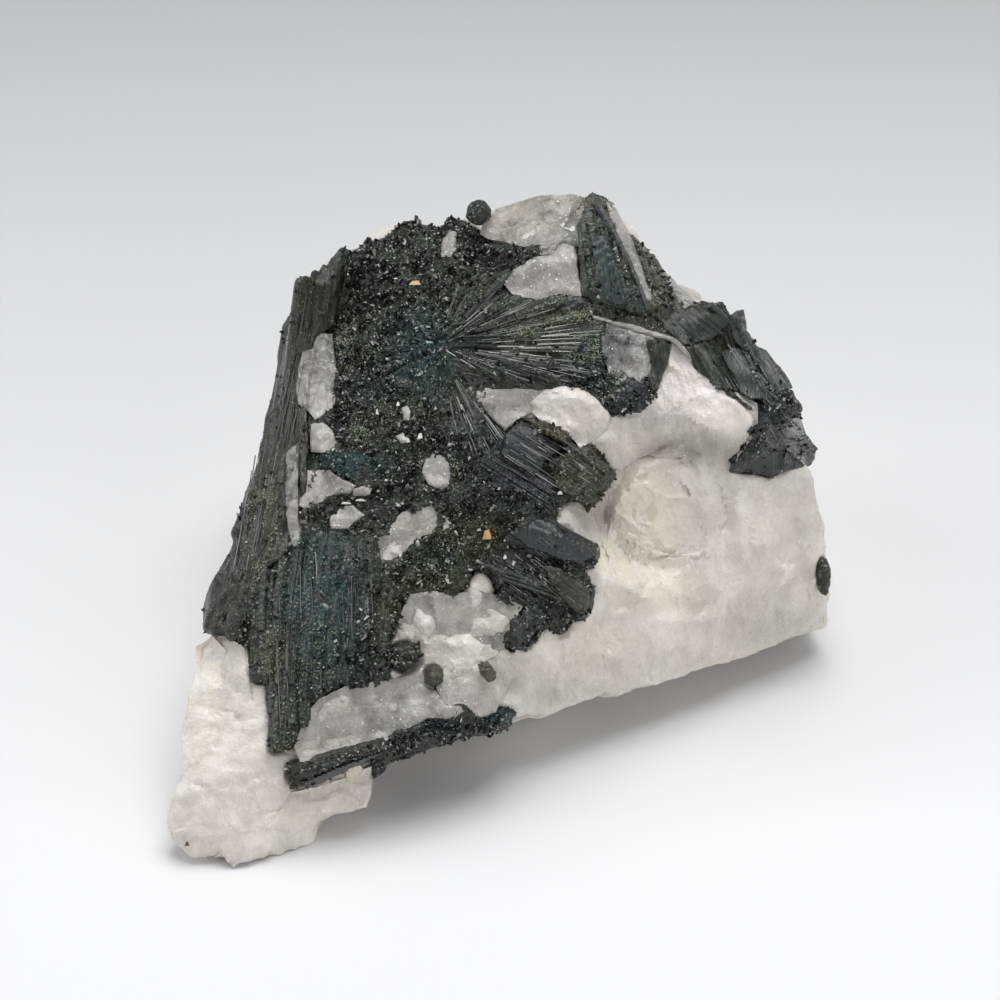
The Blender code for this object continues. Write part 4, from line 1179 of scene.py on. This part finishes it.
QUARTZ_SKINS = (
    (((684, 446), (700, 456), (692, 470), (668, 478), (654, 496), (646, 520), (634, 545), (642, 566),
      (664, 584), (644, 592), (620, 584), (606, 548), (613, 512), (637, 472), (660, 454)),
     {"stand": 0.35, "edge": 13, "planes": (14, 2.2), "cream": 0.42, "rose": 0.2}),
    (((202, 648), (224, 628), (244, 648), (250, 690), (268, 755), (282, 800), (250, 830), (214, 858),
      (190, 852), (172, 838), (169, 818), (177, 792), (193, 768), (193, 715), (200, 677)),
     {"stand": 0.55, "edge": 9, "planes": (12, 2.6), "cream": 0.22}),
    (((292, 792), (328, 784), (372, 766), (370, 800), (340, 812), (314, 826), (290, 832), (262, 830),
      (284, 806)),
     {"stand": 0.5, "edge": 5, "planes": (5, 1.0), "cream": 0.3}),
    (((196, 646), (212, 636), (226, 650), (224, 690), (212, 724), (198, 730), (194, 690)),
     {"stand": 0.35, "edge": 9, "planes": (6, 1.1), "cream": 0.4}),
    (((436, 688), (446, 664), (470, 666), (500, 657), (514, 668), (508, 690), (496, 712), (480, 718),
      (462, 703), (445, 706)), {"stand": 0.6, "edge": 5, "planes": (7, 1.0), "grey": 0.55}),
    (((396, 692), (418, 682), (436, 690), (446, 704), (462, 704), (472, 714), (452, 720), (428, 718),
      (408, 728), (390, 732)), {"stand": 0.6, "edge": 5, "planes": (6, 1.0), "grey": 0.72}),
    (((346, 768), (360, 764), (364, 770), (352, 784), (346, 782)),
     {"stand": 0.6, "edge": 4, "planes": (2, 0.3), "cream": 1.0, "grey": 0.2}),
    (((322, 333), (332, 334), (334, 350), (336, 372), (334, 386), (328, 400), (312, 414), (306, 410),
      (298, 404), (296, 385), (298, 368), (302, 352), (312, 348), (316, 337)),
     {"stand": 0.5, "planes": (4, 0.4), "grey": 0.95, "streaks": ((-0.15, 1), 5, 0.1)}),
    (((322, 378), (330, 384), (337, 398), (330, 410), (315, 420), (309, 412), (312, 396)),
     {"stand": 0.8, "planes": (5, 1.0), "grey": 0.62}),
    (((311, 424), (322, 422), (332, 430), (340, 447), (328, 453), (311, 452)),
     {"stand": 0.6, "grey": 0.62}),
    (((286, 452), (299, 442), (298, 470), (298, 498), (298, 520), (300, 549), (292, 545), (287, 520),
      (285, 490)),
     {"stand": 0.2, "planes": (3, 0.2), "grey": 1.0, "streaks": ((-0.1, 1), 4, 0.14)}),
    (((306, 470), (330, 470), (345, 480), (356, 486), (350, 494), (335, 495), (315, 504), (306, 510),
      (299, 505)),
     {"stand": 0.4, "planes": (5, 0.5), "grey": 0.72}),
    (((329, 517), (345, 506), (354, 505), (365, 515), (347, 529), (330, 529)), {"stand": 0.6, "grey": 0.6}),
    (((351, 489), (362, 486), (372, 488), (370, 495), (352, 496)), {"stand": 0.4, "grey": 0.75}),
    (((424, 462), (432, 454), (444, 456), (453, 468), (452, 484), (440, 490), (428, 484), (422, 472)),
     {"stand": 0.6, "grey": 0.75, "planes": (6, 0.8)}),
    (((371, 556), (372, 538), (392, 520), (402, 512), (420, 508), (430, 498), (437, 502), (440, 514),
      (456, 528), (440, 531), (425, 535), (410, 545), (402, 558), (390, 567), (377, 568)),
     {"stand": 0.7, "grey": 0.68, "cream": 0.3, "planes": (9, 1.4)}),
    (((502, 282), (512, 270), (533, 257), (552, 254), (562, 240), (574, 246), (582, 296), (560, 294),
      (537, 300), (512, 294)), {"stand": 0.9, "edge": 6, "grey": 0.62, "planes": (6, 1.4)}),
    (((480, 234), (484, 222), (497, 208), (521, 201), (537, 196), (571, 194), (588, 198), (584, 216),
      (580, 246), (562, 242), (550, 254), (527, 247), (505, 242), (488, 239)),
     {"stand": 0.8, "edge": 8, "grey": 0.78, "cream": 0.6, "planes": (8, 1.2),
      "streaks": ((0.7, -0.6), 14, 0.16)}),
    (((518, 240), (545, 228), (582, 220), (583, 247), (562, 244), (548, 257), (522, 251)),
     {"stand": 1.0, "edge": 6, "grey": 0.8, "cream": 0.5, "planes": (5, 1.2)}),
    (((603, 322), (628, 329), (655, 337), (650, 347), (625, 341), (603, 339)),
     {"stand": 0.4, "edge": 3, "grey": 0.85, "planes": (3, 0.4), "streaks": ((0.18, 1), 6, 0.15)}),
    (((440, 257), (441, 240), (449, 229), (457, 232), (456, 250), (450, 257)), {"stand": 0.7, "grey": 0.7}),
    (((466, 387), (485, 388), (505, 389), (530, 389), (548, 386), (538, 400), (532, 412), (516, 420),
      (505, 431), (492, 418), (478, 402)), {"stand": 0.45, "grey": 0.72, "planes": (6, 0.6)}),
    (((528, 402), (545, 389), (565, 386), (585, 390), (600, 400), (610, 415), (608, 430), (597, 440),
      (580, 448), (570, 437), (560, 428), (540, 420), (532, 413)),
      {"stand": 1.7, "edge": 11, "grey": 0.12, "planes": (8, 1.2)}),
    (((398, 625), (404, 605), (410, 594), (430, 590), (455, 594), (478, 590), (500, 596), (515, 602),
      (523, 606), (514, 622), (507, 642), (498, 655), (484, 662), (462, 655), (440, 642), (424, 640),
      (410, 635)),
     {"stand": 0.7, "edge": 5, "grey": 0.66, "planes": (10, 1.5)}),
    (((414, 601), (428, 597), (441, 606), (438, 628), (425, 640), (414, 626)),
     {"stand": 0.6, "edge": 7, "planes": (7, 0.9), "grey": 0.02, "grit": 0.3}),
    (((441, 641), (455, 634), (470, 633), (484, 646), (480, 661), (455, 656)),
     {"stand": 0.6, "edge": 7, "planes": (7, 0.9), "grey": 0.05, "grit": 0.3}),
    (((294, 747), (304, 716), (320, 698), (345, 686), (385, 680), (420, 674), (434, 684), (436, 700),
      (425, 716), (405, 728), (385, 742), (350, 752), (320, 760), (300, 762)),
     {"stand": 0.7, "grey": 0.64, "rose": 0.2, "planes": (14, 1.6), "edge": 7}),
    (((592, 315), (627, 323), (655, 331), (676, 337), (690, 352), (698, 368), (688, 358), (671, 342),
      (650, 336), (625, 328), (593, 319)), {"stand": 0.3, "edge": 2, "grey": 0.75, "planes": (2, 0.1)}),
    (((601, 336), (627, 333), (648, 340), (652, 352), (648, 372), (653, 386), (640, 392), (625, 385),
      (608, 372),
      (602, 352)), {"stand": 0.25, "grey": 0.92, "planes": (3, 0.4), "streaks": ((0.18, 1), 6, 0.1)}),
    (((672, 342), (690, 358), (718, 384), (742, 395), (757, 403), (758, 428), (744, 450), (729, 471),
      (712, 468), (698, 452), (680, 438), (660, 440), (640, 444), (624, 444), (616, 432), (626, 414),
      (646, 408), (655, 394), (668, 375), (668, 355)),
     {"stand": 0.8, "edge": 9, "grey": 0.3, "rose": 0.7, "planes": (12, 1.8),
      "streaks": ((0.5, 1), 7, 0.10)}),
    (((606, 200), (616, 208), (630, 234), (642, 264), (653, 300), (646, 302), (634, 276), (621, 246),
      (609, 216)),
     {"stand": 0.9, "edge": 5, "grey": 0.72, "planes": (1, 0.1), "streaks": ((0.4, 1), 4, 0.15)}),
    (((668, 274), (697, 304), (690, 312), (680, 308), (672, 290)), {"stand": 0.2, "grey": 0.8}),
    (((401, 408), (407, 405), (411, 412), (409, 421), (403, 420)), {"stand": 1.0, "grey": 0.35}),
    (((395, 436), (403, 432), (410, 440), (402, 444)), {"stand": 0.7, "grey": 0.3}),
)
quartz_skins = skins("quartz_windows", QUARTZ_SKINS)
quartz_skins.data.materials.append(milk.material)


def covered(points):
    """Which points lie under a window of quartz."""
    across, down = on_sheet(points)
    hidden = np.zeros(len(across), bool)
    for outline, _ in QUARTZ_SKINS:
        hidden |= inside(across, down, outline)
    return hidden


CRYSTAL_SKINS = (
    (((341, 258), (351, 253), (367, 241), (387, 236), (398, 226), (404, 221), (413, 221), (417, 218),
      (421, 224), (431, 226), (442, 228), (449, 228), (441, 240), (440, 258), (420, 266), (380, 266),
      (345, 275)),
     {"stand": 1.1, "edge": 2, "planes": (12, 1.4), "druse": 1.0, "grit": 0.25}),
    (((298, 292), (303, 283), (316, 273), (329, 266), (341, 261), (346, 275), (340, 300), (334, 325),
      (322, 333), (316, 337), (312, 348), (302, 352), (297, 368), (295, 385), (297, 404), (307, 412),
      (308, 440), (306, 492), (300, 498), (299, 442), (286, 452), (284, 490), (286, 520), (290, 548),
      (280, 560), (268, 566), (258, 592), (246, 606), (239, 606), (226, 614), (210, 624), (214, 611),
      (221, 593), (230, 566), (242, 533), (245, 507), (254, 473), (265, 437), (273, 397), (275, 388),
      (284, 350), (291, 318)),
     {"stand": 0.25, "edge": 2, "planes": (1, 0.1), "streaks": ((-0.17, 1), 9, 0.4), "olive": 0.35,
      "ink": 0.3,
      "druse": 0.06, "grit": 0.03}),
    (((578, 246), (576, 226), (585, 208), (598, 201), (610, 218), (622, 242), (634, 264), (645, 295),
      (651, 313), (646, 317), (629, 314), (603, 303), (581, 296)),
     {"stand": 0.6, "edge": 4, "planes": (2, 0.3), "streaks": ((0.2, 1), 7, 0.42), "teal": 0.35,
      "tone": 0.22,
      "olive": 0.35, "druse": 0.25, "grit": 0.03}),
    (((590, 236), (602, 232), (612, 250), (622, 276), (630, 308), (616, 306), (603, 300), (594, 268)),
     {"stand": 0.8, "edge": 4, "planes": (1, 0.1), "streaks": ((0.25, 1), 5, 0.4), "teal": 0.75,
      "tone": 0.42,
      "grit": 0.03}),
    (((590, 202), (599, 200), (611, 218), (623, 241), (634, 262), (646, 295), (652, 313), (646, 312),
      (638, 290), (625, 262), (612, 236), (600, 216)),
     {"stand": 1.1, "edge": 4, "planes": (1, 0.1), "tone": 0.8, "olive": 0.3, "grit": 0.02}),
    (((626, 241), (639, 252), (654, 254), (667, 274), (674, 292), (684, 307), (676, 320), (662, 323),
      (650, 311), (647, 295), (635, 262)),
     {"stand": 0.4, "edge": 2, "planes": (2, 0.3), "streaks": ((0.4, 1), 7, 0.35), "olive": 0.7,
      "tone": 0.2,
      "druse": 0.4}),
    (((581, 296), (603, 303), (629, 314), (646, 317), (662, 323), (678, 337), (672, 341), (650, 336),
      (625, 326), (593, 317),
      (578, 310)), {"stand": 0.15, "edge": 2, "planes": (4, 0.4), "druse": 0.7, "olive": 0.3}),
    (((659, 307), (690, 307), (718, 313), (731, 323), (713, 340), (684, 346), (664, 328)),
     {"stand": 0.5, "edge": 2, "planes": (3, 0.6), "tone": 0.15, "grit": 0.03,
      "streaks": ((1, 0.8), 12, 0.2)}),
    (((684, 346), (713, 340), (724, 355), (740, 392), (717, 387), (694, 368), (678, 338)),
     {"stand": 0.2, "edge": 2, "planes": (2, 0.3), "grit": 0.02, "streaks": ((0.5, 1), 12, 0.15)}),
    (((722, 356), (734, 345), (746, 357), (763, 400), (750, 400), (740, 393)),
     {"stand": 0.8, "edge": 2, "planes": (1, 0.1), "tone": 0.55, "grit": 0.01}),
    (((730, 324), (742, 322), (757, 346), (766, 350), (785, 373), (793, 388), (780, 392), (764, 376),
      (748, 352), (734, 342)),
     {"stand": 0.5, "edge": 2, "planes": (2, 0.3), "streaks": ((0.6, 1), 9, 0.4), "tone": 0.3,
      "grit": 0.02}),
    (((746, 357), (764, 376), (780, 392), (793, 390), (801, 407), (799, 414), (784, 416), (764, 404)),
     {"stand": 0.4, "edge": 2, "planes": (6, 1.0), "druse": 1.0, "tone": 0.1, "grit": 0.2}),
    (((758, 403), (784, 414), (800, 414), (805, 431), (815, 448), (805, 456), (790, 452), (746, 452),
      (758, 430)),
     {"stand": 0.5, "edge": 2, "planes": (6, 0.8), "ink": 0.7, "tone": 0.12, "druse": 0.3, "grit": 0.08}),
    (((745, 452), (775, 450), (806, 455), (805, 466), (790, 470), (769, 474), (752, 470), (729, 471)),
     {"stand": 0.3, "edge": 2, "planes": (1, 0.1), "tone": 0.1, "ink": 0.4, "grit": 0.01}),
    (((505, 433), (519, 422), (531, 426), (566, 447), (547, 461), (537, 478), (500, 455)),
     {"stand": 0.9, "edge": 2, "planes": (2, 0.3), "ink": 0.7, "streaks": ((0.86, 0.5), 9, 0.25),
      "grit": 0.02}),
    (((531, 424), (540, 419), (569, 434), (566, 447)),
     {"stand": 1.5, "edge": 2, "planes": (3, 0.4), "olive": 0.9, "druse": 0.9}),
    (((547, 461), (574, 447), (591, 447), (614, 474), (594, 503), (583, 503), (557, 489)),
     {"stand": 1.3, "edge": 2, "planes": (2, 0.4), "olive": 0.3, "druse": 0.3,
      "streaks": ((0.8, 0.6), 10, 0.25)}),
    (((509, 534), (538, 517), (554, 522), (565, 534), (588, 544), (597, 556), (586, 561), (583, 566),
      (558, 559),
      (527, 548)), {"stand": 1.1, "edge": 2, "planes": (4, 0.9), "ink": 0.8, "tone": 0.25, "grit": 0.01}),
    (((545, 564), (560, 568), (591, 590), (590, 607), (584, 616), (573, 610), (552, 588)),
     {"stand": 0.9, "edge": 2, "planes": (3, 0.6), "tone": 0.3, "olive": 0.4,
      "streaks": ((0.8, 0.6), 9, 0.2)}),
    (((527, 606), (513, 620), (507, 642), (515, 647), (530, 641), (542, 627), (547, 618)),
     {"stand": 1.0, "edge": 4, "planes": (3, 0.6), "ink": 0.4, "druse": 0.3,
      "streaks": ((-0.6, 1), 7, 0.2)}),
    (((390, 648), (402, 641), (420, 643), (421, 655), (412, 668), (404, 673), (392, 664), (387, 656)),
     {"stand": 1.1, "edge": 3, "planes": (6, 1.2), "druse": 0.8, "olive": 0.2}),
    (((425, 668), (436, 664), (445, 670), (444, 682), (434, 688), (424, 683)),
     {"stand": 1.1, "edge": 2, "planes": (5, 1.2), "olive": 0.4, "tone": 0.1}),
    (((478, 664), (488, 661), (497, 672), (496, 682), (488, 684), (479, 673)),
     {"stand": 1.0, "edge": 2, "planes": (4, 1.0), "olive": 0.7}),
    (((288, 767), (306, 762), (340, 749), (387, 745), (386, 750), (345, 764), (302, 781), (294, 780)),
     {"stand": 1.0, "edge": 2, "planes": (3, 0.4), "druse": 0.9}),
    (((302, 781), (345, 764), (386, 750), (376, 758), (329, 780), (308, 789)),
     {"stand": 0.8, "edge": 2, "planes": (1, 0.1), "tone": 0.7, "grit": 0.01}),
    (((646, 340), (662, 337), (672, 345), (669, 362), (662, 380), (655, 393), (650, 388), (651, 365)),
     {"stand": 0.9, "edge": 2, "planes": (2, 0.3), "streaks": ((0.1, 1), 5, 0.4), "tone": 0.2,
      "grit": 0.02}),
    (((604, 386), (615, 377), (632, 375), (650, 389), (654, 400), (640, 411), (622, 413), (608, 403)),
     {"stand": 0.6, "edge": 2, "planes": (6, 1.0), "ink": 0.8, "druse": 0.6}),
    (((560, 372), (590, 372), (606, 370), (610, 386), (612, 402), (604, 412), (594, 404), (576, 392)),
     {"stand": 0.4, "edge": 2, "planes": (6, 0.9), "druse": 0.9, "teal": 0.3}),
)
crystal_skins = skins("flush_crystals", CRYSTAL_SKINS)
dress(crystal_skins, tourmaline_finish("flush_tourmaline", 0.03, 0.12, 0.8))

# The bright ridges: crystals thin as bristles that stand just clear of the striated faces, in the spray,
# along the middle prisms, down the blocks and down the left columns. Their pale colour is painted highlight
# for ribs that catch the window light.
BRISTLES = (
    (((446, 330), (500, 286), (545, 262), (560, 300), (612, 330), (612, 372), (540, 392), (446, 362)), None,
     170, (14, 60), (0.10, 0.26), (0.1, 1.0)),
    (((440, 372), (470, 380), (520, 420), (500, 452), (470, 470), (440, 400)), None, 60, (14, 50),
     (0.10, 0.24), (0.1, 0.9)),
    (((486, 456), (520, 424), (560, 425), (612, 474), (592, 502), (556, 500)), (0.85, 0.53), 90, (12, 44),
     (0.10, 0.22), (0.0, 0.8)),
    (((505, 535), (540, 518), (596, 552), (585, 612), (540, 640), (500, 590)), (0.80, 0.60), 70, (10, 36),
     (0.10, 0.2), (0.0, 0.7)),
    (((270, 565), (372, 532), (404, 592), (388, 638), (330, 690), (280, 745), (254, 680)), (0.02, 1), 130,
     (14, 70), (0.10, 0.24), (0.0, 0.55)),
    (((293, 289), (338, 262), (300, 400), (284, 500), (250, 604), (206, 628), (262, 430)), (-0.17, 1), 80,
     (20, 90), (0.10, 0.24), (0.0, 0.4)),
    (((584, 225), (610, 218), (650, 312), (600, 300), (581, 292)), (0.25, 1), 16, (14, 50), (0.10, 0.18),
     (0.0, 0.4)),
    (((684, 345), (713, 338), (760, 350), (790, 400), (800, 460), (750, 460), (700, 372)), (0.5, 0.87), 40,
     (8, 34), (0.12, 0.3), (0.0, 0.5)),
)
TREE = visible_tree(rock_pieces + [quartz_skins, crystal_skins])


def bristle_rows(seed):
    """Places for the bristles: inside each outline, along its way or, in the spray, out from the middle."""
    dice = random.Random(seed)
    rows = []
    for outline, way, number, lengths, widths, tones in BRISTLES:
        found = 0
        while found < number:
            across = dice.uniform(min(end[0] for end in outline), max(end[0] for end in outline))
            down = dice.uniform(min(end[1] for end in outline), max(end[1] for end in outline))
            length = dice.uniform(*lengths)
            run = way or (across - SPRAY_CENTRE[0], down - SPRAY_CENTRE[1])
            turn = math.atan2(run[1], run[0]) + dice.uniform(-0.04, 0.04)
            last = across + length * math.cos(turn), down + length * math.sin(turn)
            ends = np.array([(across, down), last])
            if not inside(ends[:, 0], ends[:, 1], outline).all():
                found += 0.05
                continue
            if covered(np.array([on_rock(*end)[0] for end in ends])).any():
                found += 0.05
                continue
            width = dice.uniform(*widths)
            rows.append(((across, down), last, width, width, width * 0.45, dice.uniform(*tones) ** 2))
            found += 1
    return rows


bristle = Finish("lit_ridges")
# Painted highlight: the higher a ridge's tone, the paler its colour.
lit = bristle.blend(bristle.mark("tone"), (0.02, 0.022, 0.02, 1), (0.50, 0.51, 0.49, 1))
bristle.set(Base_Color=lit, Roughness=bristle.cloud(bristle.place(900), 2) * 0.2 + 0.12, IOR=1.63)
ridges = crystals("lit_ridges", bristle_rows(91), SLIM_MODELS, 92)
dress(ridges, bristle.material)

# The druse: thousands of tiny broken crystals that cover the masses between the big ones, each a glassy
# splinter, mostly under half a millimetre long, that glints where it faces the light.
GRAIN_COUNT = 14500
GRAIN_SIZE = (0.14, 0.85)


def splinter_model(seed):
    """One splinter, a unit across: a block drawn out, with its end broken aslant."""
    deselect()
    bpy.ops.mesh.primitive_cube_add(size=1, location=(0, 0, 0))
    model = bpy.context.object
    dice = random.Random(seed)
    bpy.ops.object.mode_set(mode="EDIT")
    bpy.ops.mesh.select_all(action="SELECT")
    bpy.ops.transform.resize(value=(0.8, 0.7, 1.6))
    bpy.ops.mesh.quads_convert_to_tris()
    bpy.ops.object.mode_set(mode="OBJECT")
    for vertex in model.data.vertices:
        pinch = 0.55 if vertex.co.z > 0 else 1.0
        vertex.co.x *= pinch * dice.uniform(0.75, 1.2)
        vertex.co.y *= pinch * dice.uniform(0.75, 1.2)
        vertex.co.z *= dice.uniform(0.6, 1.2)
    corners = points_of(model).copy()
    faces = np.array([tuple(face.vertices) for face in model.data.polygons])
    bpy.data.objects.remove(model)
    return corners, faces


SPLINTERS = [splinter_model(seed) for seed in range(9)]


def scattered(piece, count, dice, weight=None, lift=0.0):
    """Random places on the upper skin of a piece, with the way that the skin faces there."""
    corners = triangles_of(piece)
    places, facing = points_of(piece), normals_of(piece)
    first, second, third = (places[corners[:, side]] for side in range(3))
    area = np.linalg.norm(np.cross(second - first, third - first), axis=1)
    outward = facing[corners].mean(1)
    toward = np.array(SIGHT_POINT) - first
    toward /= np.linalg.norm(toward, axis=1)[:, None]
    chance = area * np.clip((outward * toward).sum(1) + 0.25, 0, 1)
    if weight is not None:
        chance = chance * weight[corners].mean(1)
    picked = dice.choice(len(corners), count, p=chance / chance.sum())
    share = dice.random((count, 2))
    share = np.where(share.sum(1)[:, None] > 1, 1 - share, share)
    found = first[picked] + (second - first)[picked] * share[:, :1] + (third - first)[picked] * share[:, 1:]
    return found + outward[picked] * lift * MM, outward[picked]


def grains_piece(name, places, outward, sizes, tones, dice, stretch=1.0):
    """Many splinters made one mesh, each turned its own way and carrying its own tone."""
    corners, faces, values = [], [], []
    count = 0
    for place, up, size, tone in zip(places, outward, sizes, tones):
        model, model_faces = SPLINTERS[dice.integers(len(SPLINTERS))]
        axis = up + dice.normal(0, 0.55, 3)
        axis /= np.linalg.norm(axis)
        side = np.cross(axis, dice.normal(0, 1, 3))
        side /= np.linalg.norm(side)
        basis = np.array([side, np.cross(axis, side), axis * stretch]) * size * MM
        corners.append(model @ basis + place)
        faces.append(model_faces + count)
        values.append(np.full(len(model), tone))
        count += len(model)
    corners = np.concatenate(corners)
    corners[:, 2] = np.maximum(corners[:, 2], 0)
    piece = mesh_piece(name, corners, np.concatenate(faces).tolist())
    carry(piece, "tone", np.concatenate(values))
    return piece


def weight_of(piece, name):
    values = np.empty(len(piece.data.vertices), np.float32)
    piece.data.attributes[name].data.foreach_get("value", values)
    return values


splinter = Finish("tourmaline_splinters")
mottle = splinter.cloud(splinter.place(900), 2)
dark = splinter.blend(splinter.mark("olive"), (0.008, 0.009, 0.008, 1), (0.045, 0.042, 0.015, 1))
dark = splinter.blend(splinter.mark("teal"), dark, (0.012, 0.045, 0.045, 1))
# The pale splinters stand partly for pale grains of quartz dust and partly for painted glints.
pale = splinter.blend(mottle.between(0.4, 0.6), (0.20, 0.21, 0.19, 1), (0.66, 0.67, 0.62, 1))
splinter.set(Base_Color=splinter.blend(splinter.mark("tone").between(0.72, 0.92), dark, pale), IOR=1.63)
splinter.set(Roughness=mottle.between(0.3, 0.7) * 0.12 + 0.08)

chance = np.random.default_rng(71)
masses = ((growth, MAIN_TINTS, GRAIN_COUNT), (apex, APEX_TINTS, 400), (flank, FLANK_TINTS, 500),
          (band, BAND_TINTS, 900), (crystal_skins, MAIN_TINTS, 2600))
for mass, tints, count in masses:
    spots = points_of(mass)
    clumps = np.array([noise.noise(Vector(spot) / (1.9 * MM)) + 0.5 * noise.noise(Vector(spot) / (0.8 * MM))
                       for spot in spots])
    weight = (weight_of(mass, "druse") ** 1.5 + 0.02) * np.clip(0.35 + 1.6 * clumps, 0.04,
                                                                1.6) * ~covered(spots)
    found, outward = scattered(mass, count, chance, weight)
    sizes = GRAIN_SIZE[0] + (GRAIN_SIZE[1] - GRAIN_SIZE[0]) * chance.random(count) ** 4
    tones = chance.random(count) * np.where(sizes > 0.45, 0.86, 1.0)
    crumbs = grains_piece(f"{mass.name}_grains", found, outward, sizes, tones, chance)
    tinted(crumbs, tints, 1.0)
    dress(crumbs, splinter.material)

# The powdery growth: soft pale-green and yellowish crumbs that sit in patches on the dark crystals, most of
# them round the spray and down the left columns. They are the smallest splinters, laid on the growth's
# skin.
MOSS_SPOTS = (
    (346, 345, 10, 16, 1.0), (360, 433, 9, 13, 1.0), (530, 332, 26, 6, 0.8), (574, 316, 16, 7, 1.0),
    (262, 512, 14, 24, 0.8), (256, 570, 6, 14, 0.8), (592, 352, 24, 16, 1.0), (600, 386, 16, 16, 0.6),
    (580, 218, 10, 12, 0.9), (450, 468, 14, 8, 0.5), (455, 540, 24, 8, 0.5), (396, 560, 8, 8, 0.8),
    (284, 744, 8, 6, 0.9), (500, 712, 10, 5, 0.9), (620, 430, 12, 8, 1.0), (430, 566, 12, 6, 0.7),
    (546, 296, 30, 6, 0.5), (470, 310, 40, 30, 0.15), (400, 400, 60, 60, 0.12), (300, 640, 40, 60, 0.12),
)
MOSS_COUNT = 3600

powder = Finish("pale_moss")
patchy = powder.cloud(powder.place(700), 2)
shade = powder.blend(patchy.between(0.4, 0.6), (0.10, 0.13, 0.085, 1), (0.30, 0.33, 0.22, 1))
powder.set(Base_Color=powder.blend(powder.mark("tone").between(0.6, 1.0), shade, (0.50, 0.50, 0.36, 1)))
powder.set(Roughness=patchy * 0.3 + 0.35)
weight = patches(points_of(growth), MOSS_SPOTS) * ~covered(points_of(growth)) + 1e-9
found, outward = scattered(growth, MOSS_COUNT, chance, weight, 0.12)
moss = grains_piece("moss", found, outward, chance.uniform(0.10, 0.26, MOSS_COUNT),
                    chance.random(MOSS_COUNT), chance,
                    0.6)
dress(moss, powder.material)

# The chips: little white lumps of quartz caught among the dark crystals, and three coloured flakes, one
# cream and one orange in the growth and one dark brown on the foot. Each is a splinter pressed flat, lying
# on the broken face.
CHIPS = (
    (560, 493, 6, 3, 0.8), (505, 557, 4, 4, 0.8), (398, 404, 4, 4, 0.9), (377, 412, 4, 5, 0.9),
    (420, 436, 6, 5, 0.8), (408, 440, 5, 4, 0.8), (346, 503, 12, 2, 0.9), (360, 500, 14, 2, 0.9),
)
FLAKES = ((415, 283, 14, 4, (0.80, 0.62, 0.34, 1)), (487, 535, 10, 9, (0.62, 0.36, 0.17, 1)),
          (187, 844, 5, 4, (0.20, 0.08, 0.04, 1)))


def chip_piece(name, rows):
    """Small broken lumps lying on the rock, each a splinter squashed to its size on the sheet."""
    corners, faces = [], []
    count = 0
    for number, (across, down, width, height, stand) in enumerate(rows):
        model, model_faces = SPLINTERS[number % len(SPLINTERS)]
        place, _ = on_rock(across, down)
        toward = (SIGHT_POINT - place).normalized()
        size = (width * SHEET_UNIT, height * SHEET_UNIT / 1.5, min(width, height) * SHEET_UNIT)
        basis = np.array([SHEET_RIGHT * size[0], toward * size[2], SHEET_UP * size[1]])
        corners.append(model @ basis + np.array(place + toward * stand * MM))
        faces.append(model_faces + count)
        count += len(model)
    piece = mesh_piece(name, np.concatenate(corners), np.concatenate(faces).tolist())
    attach(piece, "root")
    return piece


chips = chip_piece("quartz_chips", CHIPS)
chips.data.materials.append(milk.material)
for number, (*row, colour) in enumerate(FLAKES):
    flake = chip_piece(f"flake_{number}", ((*row, 1.0),))
    glint = Finish(f"flake_{number}")
    tint = glint.cloud(glint.place(1500), 2).between(0.3, 0.7)
    glint.set(Base_Color=glint.blend(tint, colour, tuple(part * 0.7 for part in colour[:3]) + (1,)))
    glint.set(Roughness=tint * 0.2 + 0.25)
    flake.data.materials.append(glint.material)

sizes = {"cad": [list(corner) for corner in cad_box], "visual": [list(corner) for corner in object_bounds()]}
